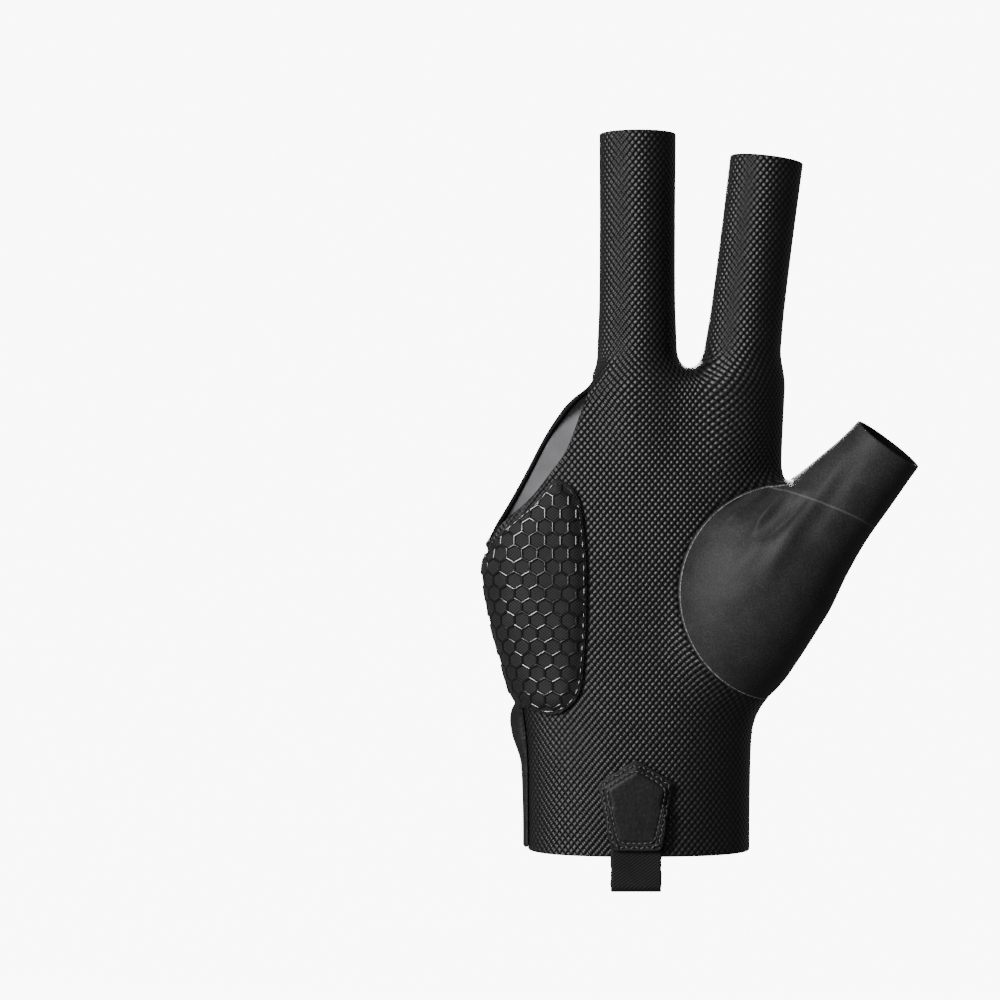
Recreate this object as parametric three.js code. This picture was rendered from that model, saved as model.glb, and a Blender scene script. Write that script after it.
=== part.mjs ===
// A billiard glove for the right hand, standing as it is worn: the fingers point up along +Z, the palm
// faces -Y and the thumb points to +X. It covers the thumb, the index finger and the middle finger, and
// is open where the ring finger and the little finger come out. All lengths are millimetres, and the
// origin is the middle of the wrist opening, level with the hem.
//
// The hand inside gives one smooth surface. Every panel is cut out of that surface by its own outline
// and given its own thickness, as a glove's panels are cut from cloth and sewn together.
import * as THREE from "three";

// Sizes of the hand form
const handLength = 140; // hem to the fork between the two fingers
const palmWidth = 86;
const palmDepth = 31;
const wristWidth = 65;
const wristDepth = 39;
const middleLength = 69; // fork to the open tip
const middleWidth = 22.4;
const middlePlace = 0.4; // the middle finger's axis, to the thumb's side of the origin
const indexLength = 61.5;
const indexWidth = 21.6;
const indexPlace = 30.6; // the index finger's axis at the fork
const indexLean = 7; // degrees towards the thumb
const fingerDepth = 20.5;
const fingerBend = 3; // how far a fingertip leans towards the palm
const thumbLength = 74; // root of the thumb, inside the palm, to its open tip
const thumbWidth = 21.7;
const thumbBase = 38; // the width of the thumb's ball
const thumbLean = 36.7; // degrees from upright, to the side
const thumbForward = 12; // degrees towards the palm
const thumbRoot = new THREE.Vector3(28, -4, 60);
const knuckleSlant = 0.8; // how fast the knuckles drop, past the middle finger
const knuckleTurn = -9;
const webRound = 7; // how softly the fingers run into the palm
const thumbRound = 11; // how softly the thumb runs into the palm

// Thicknesses and clearances
const clothWall = 1.2;
const thumbWall = 1.2;
const seamGap = 0.3; // between two panels, or between a layer and what it lies on
const padThickness = 2.2;
const padRim = 1.6; // the sloping rim's width
const padRimThickness = 1;
const patchThickness = 1.2;
const webbingThickness = 0.9;
const strapThickness = 1.8;
const hookThickness = 1;
const tabThickness = 1.6;
const bindingWidth = 1.8;
const bindingThickness = 2.2;
const bindingEnd = 9; // where it ends, below the fork

// Places and outlines of the panels, seen from the front
const cuffHeight = 36; // hem to the seam across the back of the wrist
const ballPatchRadius = 31.6;
const ballPatchX = palmWidth / 2 + 0.2;
const ballPatchZ = 75;
const ballPatchSlant = 0.5; // how its edge leans, where it turns on to the side of the hand
const padWidth = 27.6; // from the little finger's side of the palm
const padInnerEdge = padWidth - palmWidth / 2;
const padBottom = 39.8;
const padTop = 106;
const padCorner = 9;
const padMargin = 2; // between the pad and the edge of the finger opening
const strapReach = 2; // in from the little finger's side of the wrist
const strapEdge = strapReach - wristWidth / 2;
const strapHeight = 38.5;
const strapSlant = 0.12; // how much higher the strap is on the palm's side, for each mm of depth
const tabLength = 26.1;
const tabTip = strapEdge + tabLength;
const tabBottom = 1.2;
const tabHeight = 31.3;
const tabRound = 13;
const hookMargin = 4;
const patchCentre = -0.9;
const patchShoulder = 21.6;
const patchFoot = 13.6;
const patchBottom = 2;
const patchShoulderHeight = 18.8;
const patchHeight = 25.6;
const webbingWidth = 14.5;
const webbingDrop = 10.3; // how far the pull loop hangs below the hem
const webbingOuterLeg = 13;
const webbingInnerLeg = 10;

// Fineness of the faceted surface
const cell = new THREE.Vector3(3.9, 4.8, 9);
const shortestSide = 0.2;
const curveSteps = 24;

// Limbs of the hand, as rows of sections along an axis. Lengths are shares of the sizes above.
// rise: share of handLength; spread: 0 is the wrist's size and 1 the palm's; shift: share of palmWidth
// towards the thumb; thick: share of the depth; back: share of palmDepth away from the palm.
const bodyTable = [
  { rise: -0.16, spread: 0, shift: 0.009, thick: 1, back: 0 },
  { rise: 0.14, spread: 0.02, shift: 0.009, thick: 1, back: 0 },
  { rise: 0.27, spread: 0.14, shift: 0.006, thick: 0.98, back: 0 },
  { rise: 0.37, spread: 0.46, shift: 0.006, thick: 0.97, back: -0.01 },
  { rise: 0.47, spread: 0.8, shift: 0.004, thick: 0.99, back: -0.02 },
  { rise: 0.57, spread: 1, shift: 0, thick: 1, back: -0.02 },
  { rise: 0.68, spread: 1.05, shift: -0.007, thick: 0.97, back: 0 },
  { rise: 0.79, spread: 1.05, shift: -0.009, thick: 0.92, back: 0.02 },
  { rise: 0.88, spread: 1.01, shift: -0.004, thick: 0.84, back: 0.02 },
  { rise: 1.1, spread: 0.98, shift: 0, thick: 0.7, back: 0.01 },
];
// reach: share of the finger's length, from the fork; wide and thick: shares of its width and depth;
// bend: share of fingerBend.
const fingerTable = [
  { reach: -0.6, wide: 0.9, thick: 0.9, bend: -0.3 },
  { reach: -0.25, wide: 1.03, thick: 1.12, bend: -0.3 },
  { reach: 0.05, wide: 1.05, thick: 1.1, bend: -0.1 },
  { reach: 0.3, wide: 1.0, thick: 1.02, bend: 0.15 },
  { reach: 0.65, wide: 0.99, thick: 1.0, bend: 0.55 },
  { reach: 1, wide: 1.0, thick: 0.98, bend: 1 },
  { reach: 1.3, wide: 1.0, thick: 0.98, bend: 1.3 },
];
// reach: share of thumbLength; base: 1 is the width of the ball and 0 that of the thumb; wide and
// thick: shares of that width; side: share of thumbWidth away from the fingers.
const thumbTable = [
  { reach: -0.3, base: 1, wide: 0.4, thick: 0.35, side: 0 },
  { reach: 0, base: 1, wide: 0.9, thick: 0.8, side: 0 },
  { reach: 0.31, base: 1, wide: 1, thick: 0.82, side: -0.11 },
  { reach: 0.5, base: 0.6, wide: 1, thick: 0.92, side: -0.09 },
  { reach: 0.65, base: 0.32, wide: 1, thick: 0.97, side: -0.06 },
  { reach: 0.8, base: 0.17, wide: 1, thick: 0.98, side: -0.03 },
  { reach: 1, base: 0, wide: 1, thick: 0.98, side: 0 },
  { reach: 1.15, base: 0, wide: 1, thick: 0.98, side: 0 },
];
// Soft folds that the thumb pulls across its ball: x and z are shares of palmWidth and handLength,
// turn is degrees from upright, long, wide and high are shares of thumbWidth.
const foldTable = [
  { x: 0.5, z: 0.68, turn: 22, long: 0.8, wide: 0.13, high: 0.045 },
  { x: 0.42, z: 0.66, turn: 40, long: 0.6, wide: 0.12, high: 0.04 },
  { x: 0.34, z: 0.69, turn: 62, long: 0.5, wide: 0.11, high: 0.03 },
];
// Edges that run along the hand, seen from the front: z is a share of handLength and x a share of
// half the palm's width.
const palmEdgeTable = [
  { x: -1.4, z: 0.59 },
  { x: -1.05, z: 0.625 },
  { x: -0.944, z: 0.671 },
  { x: -0.72, z: 0.733 },
  { x: -0.58, z: 0.783 },
  { x: -0.458, z: 0.833 },
  { x: -0.351, z: 0.907 },
  { x: -0.3, z: 0.985 },
  { x: -0.3, z: 1.7 },
];
const backEdgeTable = [
  { x: -1.4, z: 0.58 },
  { x: -1.05, z: 0.615 },
  { x: -0.9, z: 0.68 },
  { x: -0.76, z: 0.757 },
  { x: -0.555, z: 0.857 },
  { x: -0.365, z: 0.947 },
  { x: -0.285, z: 0.99 },
  { x: -0.3, z: 1.06 },
  { x: -0.3, z: 1.7 },
];
// The seam on the back of the hand, where the palm's cloth has come round from the thumb's side.
const backSeamTable = [
  { x: 1.25, z: -0.2 },
  { x: 0.95, z: 0.16 },
  { x: 0.83, z: 0.26 },
  { x: 0.93, z: 0.39 },
  { x: 0.98, z: 0.52 },
  { x: 1, z: 0.64 },
  { x: 0.98, z: 0.83 },
  { x: 1.1, z: 0.93 },
  { x: 1.5, z: 1.7 },
];
// The edge of the thumb's piece on the back of the hand.
const thumbEdgeTable = [
  { x: 1.6, z: 0.38 },
  { x: 1.27, z: 0.44 },
  { x: 1.13, z: 0.51 },
  { x: 1.12, z: 0.6 },
  { x: 1.09, z: 0.68 },
  { x: 1.04, z: 0.766 },
  { x: 1.22, z: 0.83 },
  { x: 1.28, z: 0.95 },
  { x: 1.7, z: 1.1 },
];
// Where the side seams run, front to back: z is a share of handLength, y a share of palmDepth.
const sideSeamTable = [
  { z: -0.2, y: 0 },
  { z: 0.5, y: 0 },
  { z: 0.9, y: 0.04 },
  { z: 1.1, y: 0.05 },
  { z: 1.5, y: -0.03 },
  { z: 1.8, y: -0.07 },
];

const { clamp } = THREE.MathUtils;
const mix = (a, b, t) => a + (b - a) * t;
const radians = THREE.MathUtils.degToRad;

// A smooth value of one column at a place along a table's key column.
function columnAt(rows, key, column, at) {
  const last = rows.length - 1;
  const place = clamp(at, rows[0][key], rows[last][key]);
  let i = 0;
  while (i < last - 1 && place > rows[i + 1][key]) i += 1;
  const slope = (n) => {
    const before = rows[Math.max(n - 1, 0)];
    const after = rows[Math.min(n + 1, last)];
    return (after[column] - before[column]) / (after[key] - before[key]);
  };
  const span = rows[i + 1][key] - rows[i][key];
  const t = (place - rows[i][key]) / span;
  const t2 = t * t;
  const t3 = t2 * t;
  return (
    (2 * t3 - 3 * t2 + 1) * rows[i][column] +
    (t3 - 2 * t2 + t) * span * slope(i) +
    (3 * t2 - 2 * t3) * rows[i + 1][column] +
    (t3 - t2) * span * slope(i + 1)
  );
}

// Limbs: sections in millimetres, in a frame of an axis, a side and a depth direction.
const bodyLimb = {
  origin: new THREE.Vector3(),
  axis: new THREE.Vector3(0, 0, 1),
  side: new THREE.Vector3(1, 0, 0),
  depth: new THREE.Vector3(0, 1, 0),
  squareness: 2.5,
  rows: bodyTable.map((row) => ({
    along: row.rise * handLength,
    side: row.shift * palmWidth,
    depth: row.back * palmDepth,
    halfSide: mix(wristWidth, palmWidth, row.spread) / 2,
    halfDepth: (mix(wristDepth, palmDepth, Math.min(row.spread, 1)) * row.thick) / 2,
  })),
};

function fingerLimb(place, lean, length, width) {
  return {
    origin: new THREE.Vector3(place, 0, handLength),
    axis: new THREE.Vector3(0, 0, 1),
    side: new THREE.Vector3(1, 0, 0),
    depth: new THREE.Vector3(0, 1, 0),
    squareness: 2.1,
    rows: fingerTable.map((row) => ({
      along: row.reach * length,
      side: row.reach * length * Math.tan(radians(lean)),
      depth: -row.bend * fingerBend,
      halfSide: (row.wide * width) / 2,
      halfDepth: (row.thick * fingerDepth) / 2,
    })),
  };
}
const middleLimb = fingerLimb(middlePlace, 0, middleLength, middleWidth);
const indexLimb = fingerLimb(indexPlace, indexLean, indexLength, indexWidth);

const thumbAxis = new THREE.Vector3(
  Math.sin(radians(thumbLean)) * Math.cos(radians(thumbForward)),
  -Math.sin(radians(thumbForward)),
  Math.cos(radians(thumbLean)) * Math.cos(radians(thumbForward)),
);
const thumbSide = new THREE.Vector3(
  Math.cos(radians(thumbLean)),
  0,
  -Math.sin(radians(thumbLean)),
);
const thumbLimb = {
  origin: thumbRoot,
  axis: thumbAxis,
  side: thumbSide,
  depth: new THREE.Vector3().crossVectors(thumbAxis, thumbSide),
  squareness: 2.05,
  rows: thumbTable.map((row) => {
    const width = mix(thumbWidth, thumbBase, row.base);
    return {
      along: row.reach * thumbLength,
      side: row.side * thumbWidth,
      depth: 0,
      halfSide: (row.wide * width) / 2,
      halfDepth: (row.thick * width) / 2,
    };
  }),
};

// How far a point lies outside a limb. It is less than 0 inside.
function limbDistance(limb, point) {
  const from = point.clone().sub(limb.origin);
  const along = from.dot(limb.axis);
  const at = (column) => columnAt(limb.rows, "along", column, along);
  const halfSide = at("halfSide");
  const halfDepth = at("halfDepth");
  const side = Math.abs(from.dot(limb.side) - at("side")) / halfSide + 1e-6;
  const depth = Math.abs(from.dot(limb.depth) - at("depth")) / halfDepth + 1e-6;
  const n = limb.squareness;
  const ratio = (side ** n + depth ** n) ** (1 / n);
  const steepness = Math.hypot(
    (side / ratio) ** (n - 1) / halfSide,
    (depth / ratio) ** (n - 1) / halfDepth,
  );
  const first = limb.rows[0].along;
  const last = limb.rows[limb.rows.length - 1].along;
  return Math.max((ratio - 1) / steepness, first - along, along - last);
}

// The lesser of two distances, with a soft fillet where they are alike.
function softUnion(a, b, fillet) {
  const near = Math.max(fillet - Math.abs(a - b), 0) / fillet;
  return Math.min(a, b) - (near * near * fillet) / 4;
}
const softCut = (a, b, fillet) => -softUnion(-a, -b, fillet);

function foldHeight(point) {
  if (point.y > 0) return 0;
  return foldTable.reduce((height, fold) => {
    const x = point.x - fold.x * palmWidth;
    const z = point.z - fold.z * handLength;
    const turn = radians(fold.turn);
    const along = x * Math.sin(turn) + z * Math.cos(turn);
    const across = x * Math.cos(turn) - z * Math.sin(turn);
    const reach = (along / (fold.long * thumbWidth)) ** 2 + (across / (fold.wide * thumbWidth)) ** 2;
    return height + fold.high * thumbWidth * Math.exp(-reach);
  }, 0);
}

function handDistance(point) {
  const knuckles = point.z - handLength + knuckleSlant * Math.max(knuckleTurn - point.x, 0);
  const body = softCut(limbDistance(bodyLimb, point), knuckles, webRound);
  const fingers = softUnion(limbDistance(middleLimb, point), limbDistance(indexLimb, point), webRound * 0.6);
  const hand = softUnion(body, fingers, webRound);
  return softUnion(hand, limbDistance(thumbLimb, point), thumbRound) - foldHeight(point);
}

function gradient(distance, point) {
  const step = 0.05;
  const slope = (axis) => {
    const ahead = point.clone();
    const behind = point.clone();
    ahead[axis] += step;
    behind[axis] -= step;
    return (distance(ahead) - distance(behind)) / (2 * step);
  };
  return new THREE.Vector3(slope("x"), slope("y"), slope("z"));
}

// The hand's surface as a net of quadrilaterals, one point in each cell that the surface crosses.
function surfaceNet(distance, low, high) {
  const count = ["x", "y", "z"].map((axis) => Math.ceil((high[axis] - low[axis]) / cell[axis]) + 1);
  const corner = (i, j, k) =>
    new THREE.Vector3(low.x + i * cell.x, low.y + j * cell.y, low.z + k * cell.z);
  const index = (i, j, k) => (k * count[1] + j) * count[0] + i;
  const value = new Float64Array(count[0] * count[1] * count[2]);
  for (let k = 0; k < count[2]; k += 1)
    for (let j = 0; j < count[1]; j += 1)
      for (let i = 0; i < count[0]; i += 1) value[index(i, j, k)] = distance(corner(i, j, k));

  const points = [];
  const pointOf = new Map();
  const corners = [0, 1, 2, 3, 4, 5, 6, 7].map((n) => [n & 1, (n >> 1) & 1, (n >> 2) & 1]);
  const edges = corners.flatMap((a, m) =>
    [1, 2, 4].filter((bit) => !(m & bit)).map((bit) => [m, m | bit]),
  );
  const makePoint = (i, j, k) => {
    const sum = new THREE.Vector3();
    let crossings = 0;
    for (const [m, n] of edges) {
      const [a, b] = [corners[m], corners[n]];
      const va = value[index(i + a[0], j + a[1], k + a[2])];
      const vb = value[index(i + b[0], j + b[1], k + b[2])];
      if (va < 0 === vb < 0) continue;
      const pa = corner(i + a[0], j + a[1], k + a[2]);
      sum.add(pa.lerp(corner(i + b[0], j + b[1], k + b[2]), va / (va - vb)));
      crossings += 1;
    }
    const point = sum.divideScalar(crossings);
    for (let turn = 0; turn < 3; turn += 1) {
      const slope = gradient(distance, point);
      point.addScaledVector(slope, -distance(point) / slope.lengthSq());
    }
    points.push(point);
    return points.length - 1;
  };
  const pointAt = (i, j, k) => {
    const key = index(i, j, k);
    if (!pointOf.has(key)) pointOf.set(key, makePoint(i, j, k));
    return pointOf.get(key);
  };
  const faces = [];
  const addQuad = (quad, turned) => {
    const [a, b, c, d] = turned ? [...quad].reverse() : quad;
    const shortCut = points[a].distanceTo(points[c]) < points[b].distanceTo(points[d]);
    if (shortCut) faces.push([a, b, c], [a, c, d]);
    else faces.push([a, b, d], [b, c, d]);
  };
  for (let k = 1; k < count[2] - 1; k += 1)
    for (let j = 1; j < count[1] - 1; j += 1)
      for (let i = 1; i < count[0] - 1; i += 1) {
        const inside = value[index(i, j, k)] < 0;
        if (inside !== value[index(i + 1, j, k)] < 0)
          addQuad(
            [pointAt(i, j - 1, k - 1), pointAt(i, j, k - 1), pointAt(i, j, k), pointAt(i, j - 1, k)],
            !inside,
          );
        if (inside !== value[index(i, j + 1, k)] < 0)
          addQuad(
            [pointAt(i - 1, j, k - 1), pointAt(i - 1, j, k), pointAt(i, j, k), pointAt(i, j, k - 1)],
            !inside,
          );
        if (inside !== value[index(i, j, k + 1)] < 0)
          addQuad(
            [pointAt(i - 1, j - 1, k), pointAt(i, j - 1, k), pointAt(i, j, k), pointAt(i - 1, j, k)],
            !inside,
          );
      }
  return { points, normals: points.map((p) => gradient(distance, p).normalize()), faces };
}

// Divides a sheet along the line where a value is 0, with new points there, and keeps the asked sides.
function divide(sheet, valueAt, sides) {
  const points = [...sheet.points];
  const normals = [...sheet.normals];
  const value = points.map(valueAt);
  const made = new Map();
  const crossing = (a, b) => {
    const [low, high] = a < b ? [a, b] : [b, a];
    const key = `${low}_${high}`;
    if (!made.has(key)) {
      const t = value[low] / (value[low] - value[high]);
      points.push(points[low].clone().lerp(points[high], t));
      normals.push(normals[low].clone().lerp(normals[high], t).normalize());
      made.set(key, points.length - 1);
    }
    return made.get(key);
  };
  const faces = [];
  for (const face of sheet.faces)
    for (const side of sides) {
      if (!face.some((p) => side * value[p] > 0)) continue;
      const kept = [];
      for (let i = 0; i < 3; i += 1) {
        const [a, b] = [face[i], face[(i + 1) % 3]];
        if (side * value[a] >= 0) kept.push(a);
        if (value[a] * value[b] < 0) kept.push(crossing(a, b));
      }
      for (let i = 1; i < kept.length - 1; i += 1) faces.push([kept[0], kept[i], kept[i + 1]]);
    }
  return largestPiece(weld({ points, normals, faces }));
}
const cut = (sheet, valueAt) => divide(sheet, valueAt, [1]);
const crease = (sheet, valueAt) => divide(sheet, valueAt, [1, -1]);

// Joins points that lie closer together than the shortest side worth keeping.
function weld({ points, normals, faces }) {
  const target = points.map((_, i) => i);
  const find = (i) => (target[i] === i ? i : find(target[i]));
  for (const face of faces)
    for (let i = 0; i < 3; i += 1) {
      const [a, b] = [face[i], face[(i + 1) % 3]];
      if (points[a].distanceTo(points[b]) < shortestSide) target[find(b)] = find(a);
    }
  const joined = faces
    .map((face) => face.map(find))
    .filter(([a, b, c]) => a !== b && b !== c && c !== a);
  const kinds = new Map();
  for (const face of joined) {
    const key = [...face].sort((a, b) => a - b).join("_");
    kinds.set(key, (kinds.get(key) ?? 0) + 1);
  }
  const single = joined.filter((face) => kinds.get([...face].sort((a, b) => a - b).join("_")) === 1);
  return { points, normals, faces: single };
}

// The connected part of a sheet that has the most faces, with only the points that it uses.
function largestPiece({ points, normals, faces }) {
  const group = points.map((_, i) => i);
  const root = (i) => {
    let at = i;
    while (group[at] !== at) at = group[at];
    group[i] = at;
    return at;
  };
  for (const [a, b, c] of faces) {
    group[root(b)] = root(a);
    group[root(c)] = root(a);
  }
  const sizes = new Map();
  for (const [a] of faces) sizes.set(root(a), (sizes.get(root(a)) ?? 0) + 1);
  const largest = [...sizes].sort((a, b) => b[1] - a[1])[0][0];
  const kept = faces.filter(([a]) => root(a) === largest);
  const used = [...new Set(kept.flat())];
  const renumbered = new Map(used.map((old, i) => [old, i]));
  return {
    points: used.map((i) => points[i]),
    normals: used.map((i) => normals[i]),
    faces: kept.map((face) => face.map((i) => renumbered.get(i))),
  };
}

// A closed solid between two offsets of a sheet. An offset is a length or a function of the point.
function thicken(sheet, inner, outer) {
  const lengthAt = (offset, point) => (typeof offset === "function" ? offset(point) : offset);
  const layer = (offset) =>
    sheet.points.map((p, i) => p.clone().addScaledVector(sheet.normals[i], lengthAt(offset, p)));
  const points = [...layer(outer), ...layer(inner)];
  const count = sheet.points.length;
  const faces = sheet.faces.flatMap(([a, b, c]) => [
    [a, b, c],
    [c + count, b + count, a + count],
  ]);
  const sides = new Set(sheet.faces.flatMap(([a, b, c]) => [`${a}_${b}`, `${b}_${c}`, `${c}_${a}`]));
  for (const key of sides) {
    const [a, b] = key.split("_").map(Number);
    if (sides.has(`${b}_${a}`)) continue;
    faces.push([b, a, a + count], [b, a + count, b + count]);
  }
  const geometry = new THREE.BufferGeometry().setFromPoints(points);
  return geometry.setIndex(faces.flat());
}

// Distance from a line, seen from the front.
function fromLine(line, x, z) {
  let nearest = Infinity;
  for (let i = 0; i < line.length - 1; i += 1) {
    const [a, b] = [line[i], line[i + 1]];
    const [dx, dz] = [b.x - a.x, b.y - a.y];
    const t = clamp(((x - a.x) * dx + (z - a.y) * dz) / (dx * dx + dz * dz), 0, 1);
    nearest = Math.min(nearest, Math.hypot(x - a.x - t * dx, z - a.y - t * dz));
  }
  return nearest;
}
// The same with a sign, for a line that climbs all the way: above 0 on its right.
function besideLine(line, x, z) {
  const upper = clamp(line.findIndex((p) => p.y > z), 1, line.length - 1);
  const [a, b] = z > line.at(-1).y ? [line.at(-2), line.at(-1)] : [line[upper - 1], line[upper]];
  const lineX = mix(a.x, b.x, clamp((z - a.y) / (b.y - a.y), 0, 1));
  return Math.sign(x - lineX) * fromLine(line, x, z);
}
// Distance into a closed outline, seen from the front: above 0 inside.
function insideShape(shape, x, z) {
  const outline = shape.getPoints(curveSteps / 2);
  const closed = [...outline, outline[0]].filter((p, i, all) => i === 0 || !p.equals(all[i - 1]));
  const inside = closed.slice(1).reduce((odd, b, i) => {
    const a = closed[i];
    const crosses = a.y > z !== b.y > z && x < a.x + ((b.x - a.x) * (z - a.y)) / (b.y - a.y);
    return crosses ? !odd : odd;
  }, false);
  return (inside ? 1 : -1) * fromLine(closed, x, z);
}
function edgeLine(table) {
  const points = table.map((row) => new THREE.Vector2((row.x * palmWidth) / 2, row.z * handLength));
  return new THREE.SplineCurve(points).getPoints(curveSteps * 2);
}

const palmEdge = edgeLine(palmEdgeTable);
const backEdge = edgeLine(backEdgeTable);
const backSeam = edgeLine(backSeamTable);
const thumbEdge = edgeLine(thumbEdgeTable);
const sideSeam = (z) => columnAt(sideSeamTable, "z", "y", z / handLength) * palmDepth;

// Values that are above 0 on one side of a seam or cut.
const half = seamGap / 2;
const aboveHem = (p) => p.z;
const belowMiddleTip = (p) => handLength + middleLength - p.z;
const fork = (middlePlace + indexPlace) / 2;
function belowIndexTip(p) {
  const lean = radians(indexLean);
  const up = (p.x - indexPlace) * Math.sin(lean) + (p.z - handLength) * Math.cos(lean);
  return Math.max(indexLength / Math.cos(lean) - up, fork - p.x);
}
function belowThumbTip(p) {
  const along = p.clone().sub(thumbRoot).dot(thumbAxis);
  return Math.max(thumbLength - along, p.z - handLength * 0.98);
}
const onBack = (p) => Math.min(p.y - sideSeam(p.z), -besideLine(backSeam, p.x, p.z));
function onThumb(p) {
  const ball = ballPatchRadius - Math.hypot(p.x - ballPatchX, p.z - ballPatchZ);
  const low = Math.min(p.z - ballPatchZ + ballPatchRadius * 0.7, 0);
  const palmSide = thumbRoot.y + ballPatchSlant * low - p.y;
  return Math.max(besideLine(thumbEdge, p.x, p.z), Math.min(ball, palmSide));
}

// The open glove, creased along its seams so that the panels on both sides of a seam match.
const low = new THREE.Vector3(-wristWidth, -wristDepth - cell.y, -3 * cell.z);
const high = new THREE.Vector3(
  thumbRoot.x + thumbLength,
  wristDepth,
  handLength + middleLength + 3 * cell.z,
);
const form = surfaceNet(handDistance, low, high);
const open = [aboveHem, belowMiddleTip, belowIndexTip, belowThumbTip].reduce(cut, form);
const glove = [onBack, onThumb].reduce(crease, open);

const materials = {
  knit: new THREE.MeshStandardMaterial({ color: 0x1c1c1d, roughness: 0.8 }),
  lycra: new THREE.MeshStandardMaterial({ color: 0x1a191a, roughness: 0.6 }),
  microfibre: new THREE.MeshStandardMaterial({ color: 0x2b2b2c, roughness: 0.85 }),
  silicone: new THREE.MeshStandardMaterial({ color: 0x3a3b3c, roughness: 0.35 }),
  leatherette: new THREE.MeshStandardMaterial({ color: 0x1e1e1f, roughness: 0.7 }),
  webbing: new THREE.MeshStandardMaterial({ color: 0x222223, roughness: 0.8 }),
  binding: new THREE.MeshStandardMaterial({ color: 0x0d0d0e, roughness: 0.6 }),
  hook: new THREE.MeshStandardMaterial({ color: 0x101011, roughness: 0.9 }),
};

const group = new THREE.Group();
function addPiece(name, geometry, material) {
  const mesh = new THREE.Mesh(geometry, material);
  mesh.name = name;
  group.add(mesh);
  return mesh;
}

function palmPanel() {
  const panel = [
    (p) => -onBack(p) - half,
    (p) => -onThumb(p) - half,
    (p) => besideLine(palmEdge, p.x, p.z),
  ].reduce(cut, glove);
  return thicken(panel, -clothWall, 0);
}

function backPanel() {
  const panel = [
    (p) => onBack(p) - half,
    (p) => -onThumb(p) - half,
    (p) => besideLine(backEdge, p.x, p.z),
    (p) => p.z - cuffHeight - half,
  ].reduce(cut, glove);
  return thicken(panel, -clothWall, 0);
}

function cuffPanel() {
  const panel = [
    (p) => onBack(p) - half,
    (p) => -onThumb(p) - half,
    (p) => cuffHeight - half - p.z,
  ].reduce(cut, glove);
  return thicken(panel, -clothWall, 0);
}

function thumbPiece() {
  const piece = cut(glove, (p) => onThumb(p) - half);
  return thicken(piece, -thumbWall, 0);
}

// A narrow band round the free edge of the back panel, a little thicker than the cloth.
function edgeBinding() {
  const band = [
    (p) => p.y - sideSeam(p.z) - half,
    (p) => -besideLine(backEdge, p.x, p.z) - seamGap,
    (p) => besideLine(backEdge, p.x, p.z) + seamGap + bindingWidth,
    (p) => handLength - bindingEnd - p.z,
  ].reduce(cut, glove);
  const proud = (bindingThickness - clothWall) / 2;
  return thicken(band, -clothWall - proud, proud);
}

const padShape = new THREE.Shape();
padShape.moveTo(-palmWidth, padBottom);
padShape.lineTo(padInnerEdge - padCorner * 1.3, padBottom);
padShape.quadraticCurveTo(padInnerEdge - 2, padBottom, padInnerEdge - 0.8, padBottom + padCorner * 1.6);
padShape.quadraticCurveTo(padInnerEdge + 0.8, (padBottom + padTop) / 2, padInnerEdge - 1.5, padTop - 4);
padShape.lineTo(padInnerEdge - 5, padTop);
padShape.lineTo(-palmWidth, padTop);

// The grip pad on the heel of the hand, thinner along its rim.
function gripPad() {
  const inPad = (p) =>
    Math.min(insideShape(padShape, p.x, p.z), besideLine(palmEdge, p.x, p.z) - padMargin);
  const palmSide = (p) => sideSeam(p.z) - p.y;
  const panel = crease([palmSide, inPad].reduce(cut, glove), (p) => inPad(p) - padRim);
  const rise = (p) => mix(padRimThickness, padThickness, clamp(inPad(p) / padRim, 0, 1));
  return thicken(panel, seamGap, (p) => seamGap + rise(p));
}

// The strap that comes round the little finger's side of the wrist.
function strapBase() {
  const band = [
    (p) => strapEdge - p.x,
    (p) => p.z - seamGap,
    (p) => strapHeight - strapSlant * p.y - p.z,
  ].reduce(cut, glove);
  return thicken(band, seamGap, seamGap + strapThickness);
}

const tabShape = new THREE.Shape();
tabShape.moveTo(strapEdge + seamGap, tabBottom);
tabShape.lineTo(tabTip - tabRound, tabBottom);
tabShape.absellipse(
  tabTip - tabRound,
  tabBottom + tabHeight / 2,
  tabRound,
  tabHeight / 2,
  -Math.PI / 2,
  Math.PI / 2,
  false,
);
tabShape.lineTo(strapEdge + seamGap, tabBottom + tabHeight);

const inTab = (p) => insideShape(tabShape, p.x, p.z);
const onTab = [(p) => p.y - sideSeam(p.z), inTab].reduce(cut, glove);
// The tab lies on the cuff along its rim and rises over the hook patch.
function closureTab() {
  const under = (p) =>
    seamGap + (hookThickness + seamGap) * clamp(inTab(p) / (hookMargin - 1), 0, 1);
  const panel = crease(onTab, (p) => inTab(p) - hookMargin + 1);
  return thicken(panel, under, (p) => under(p) + tabThickness);
}
function hookPatch() {
  const panel = cut(onTab, (p) => inTab(p) - hookMargin);
  return thicken(panel, seamGap, seamGap + hookThickness);
}

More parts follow.
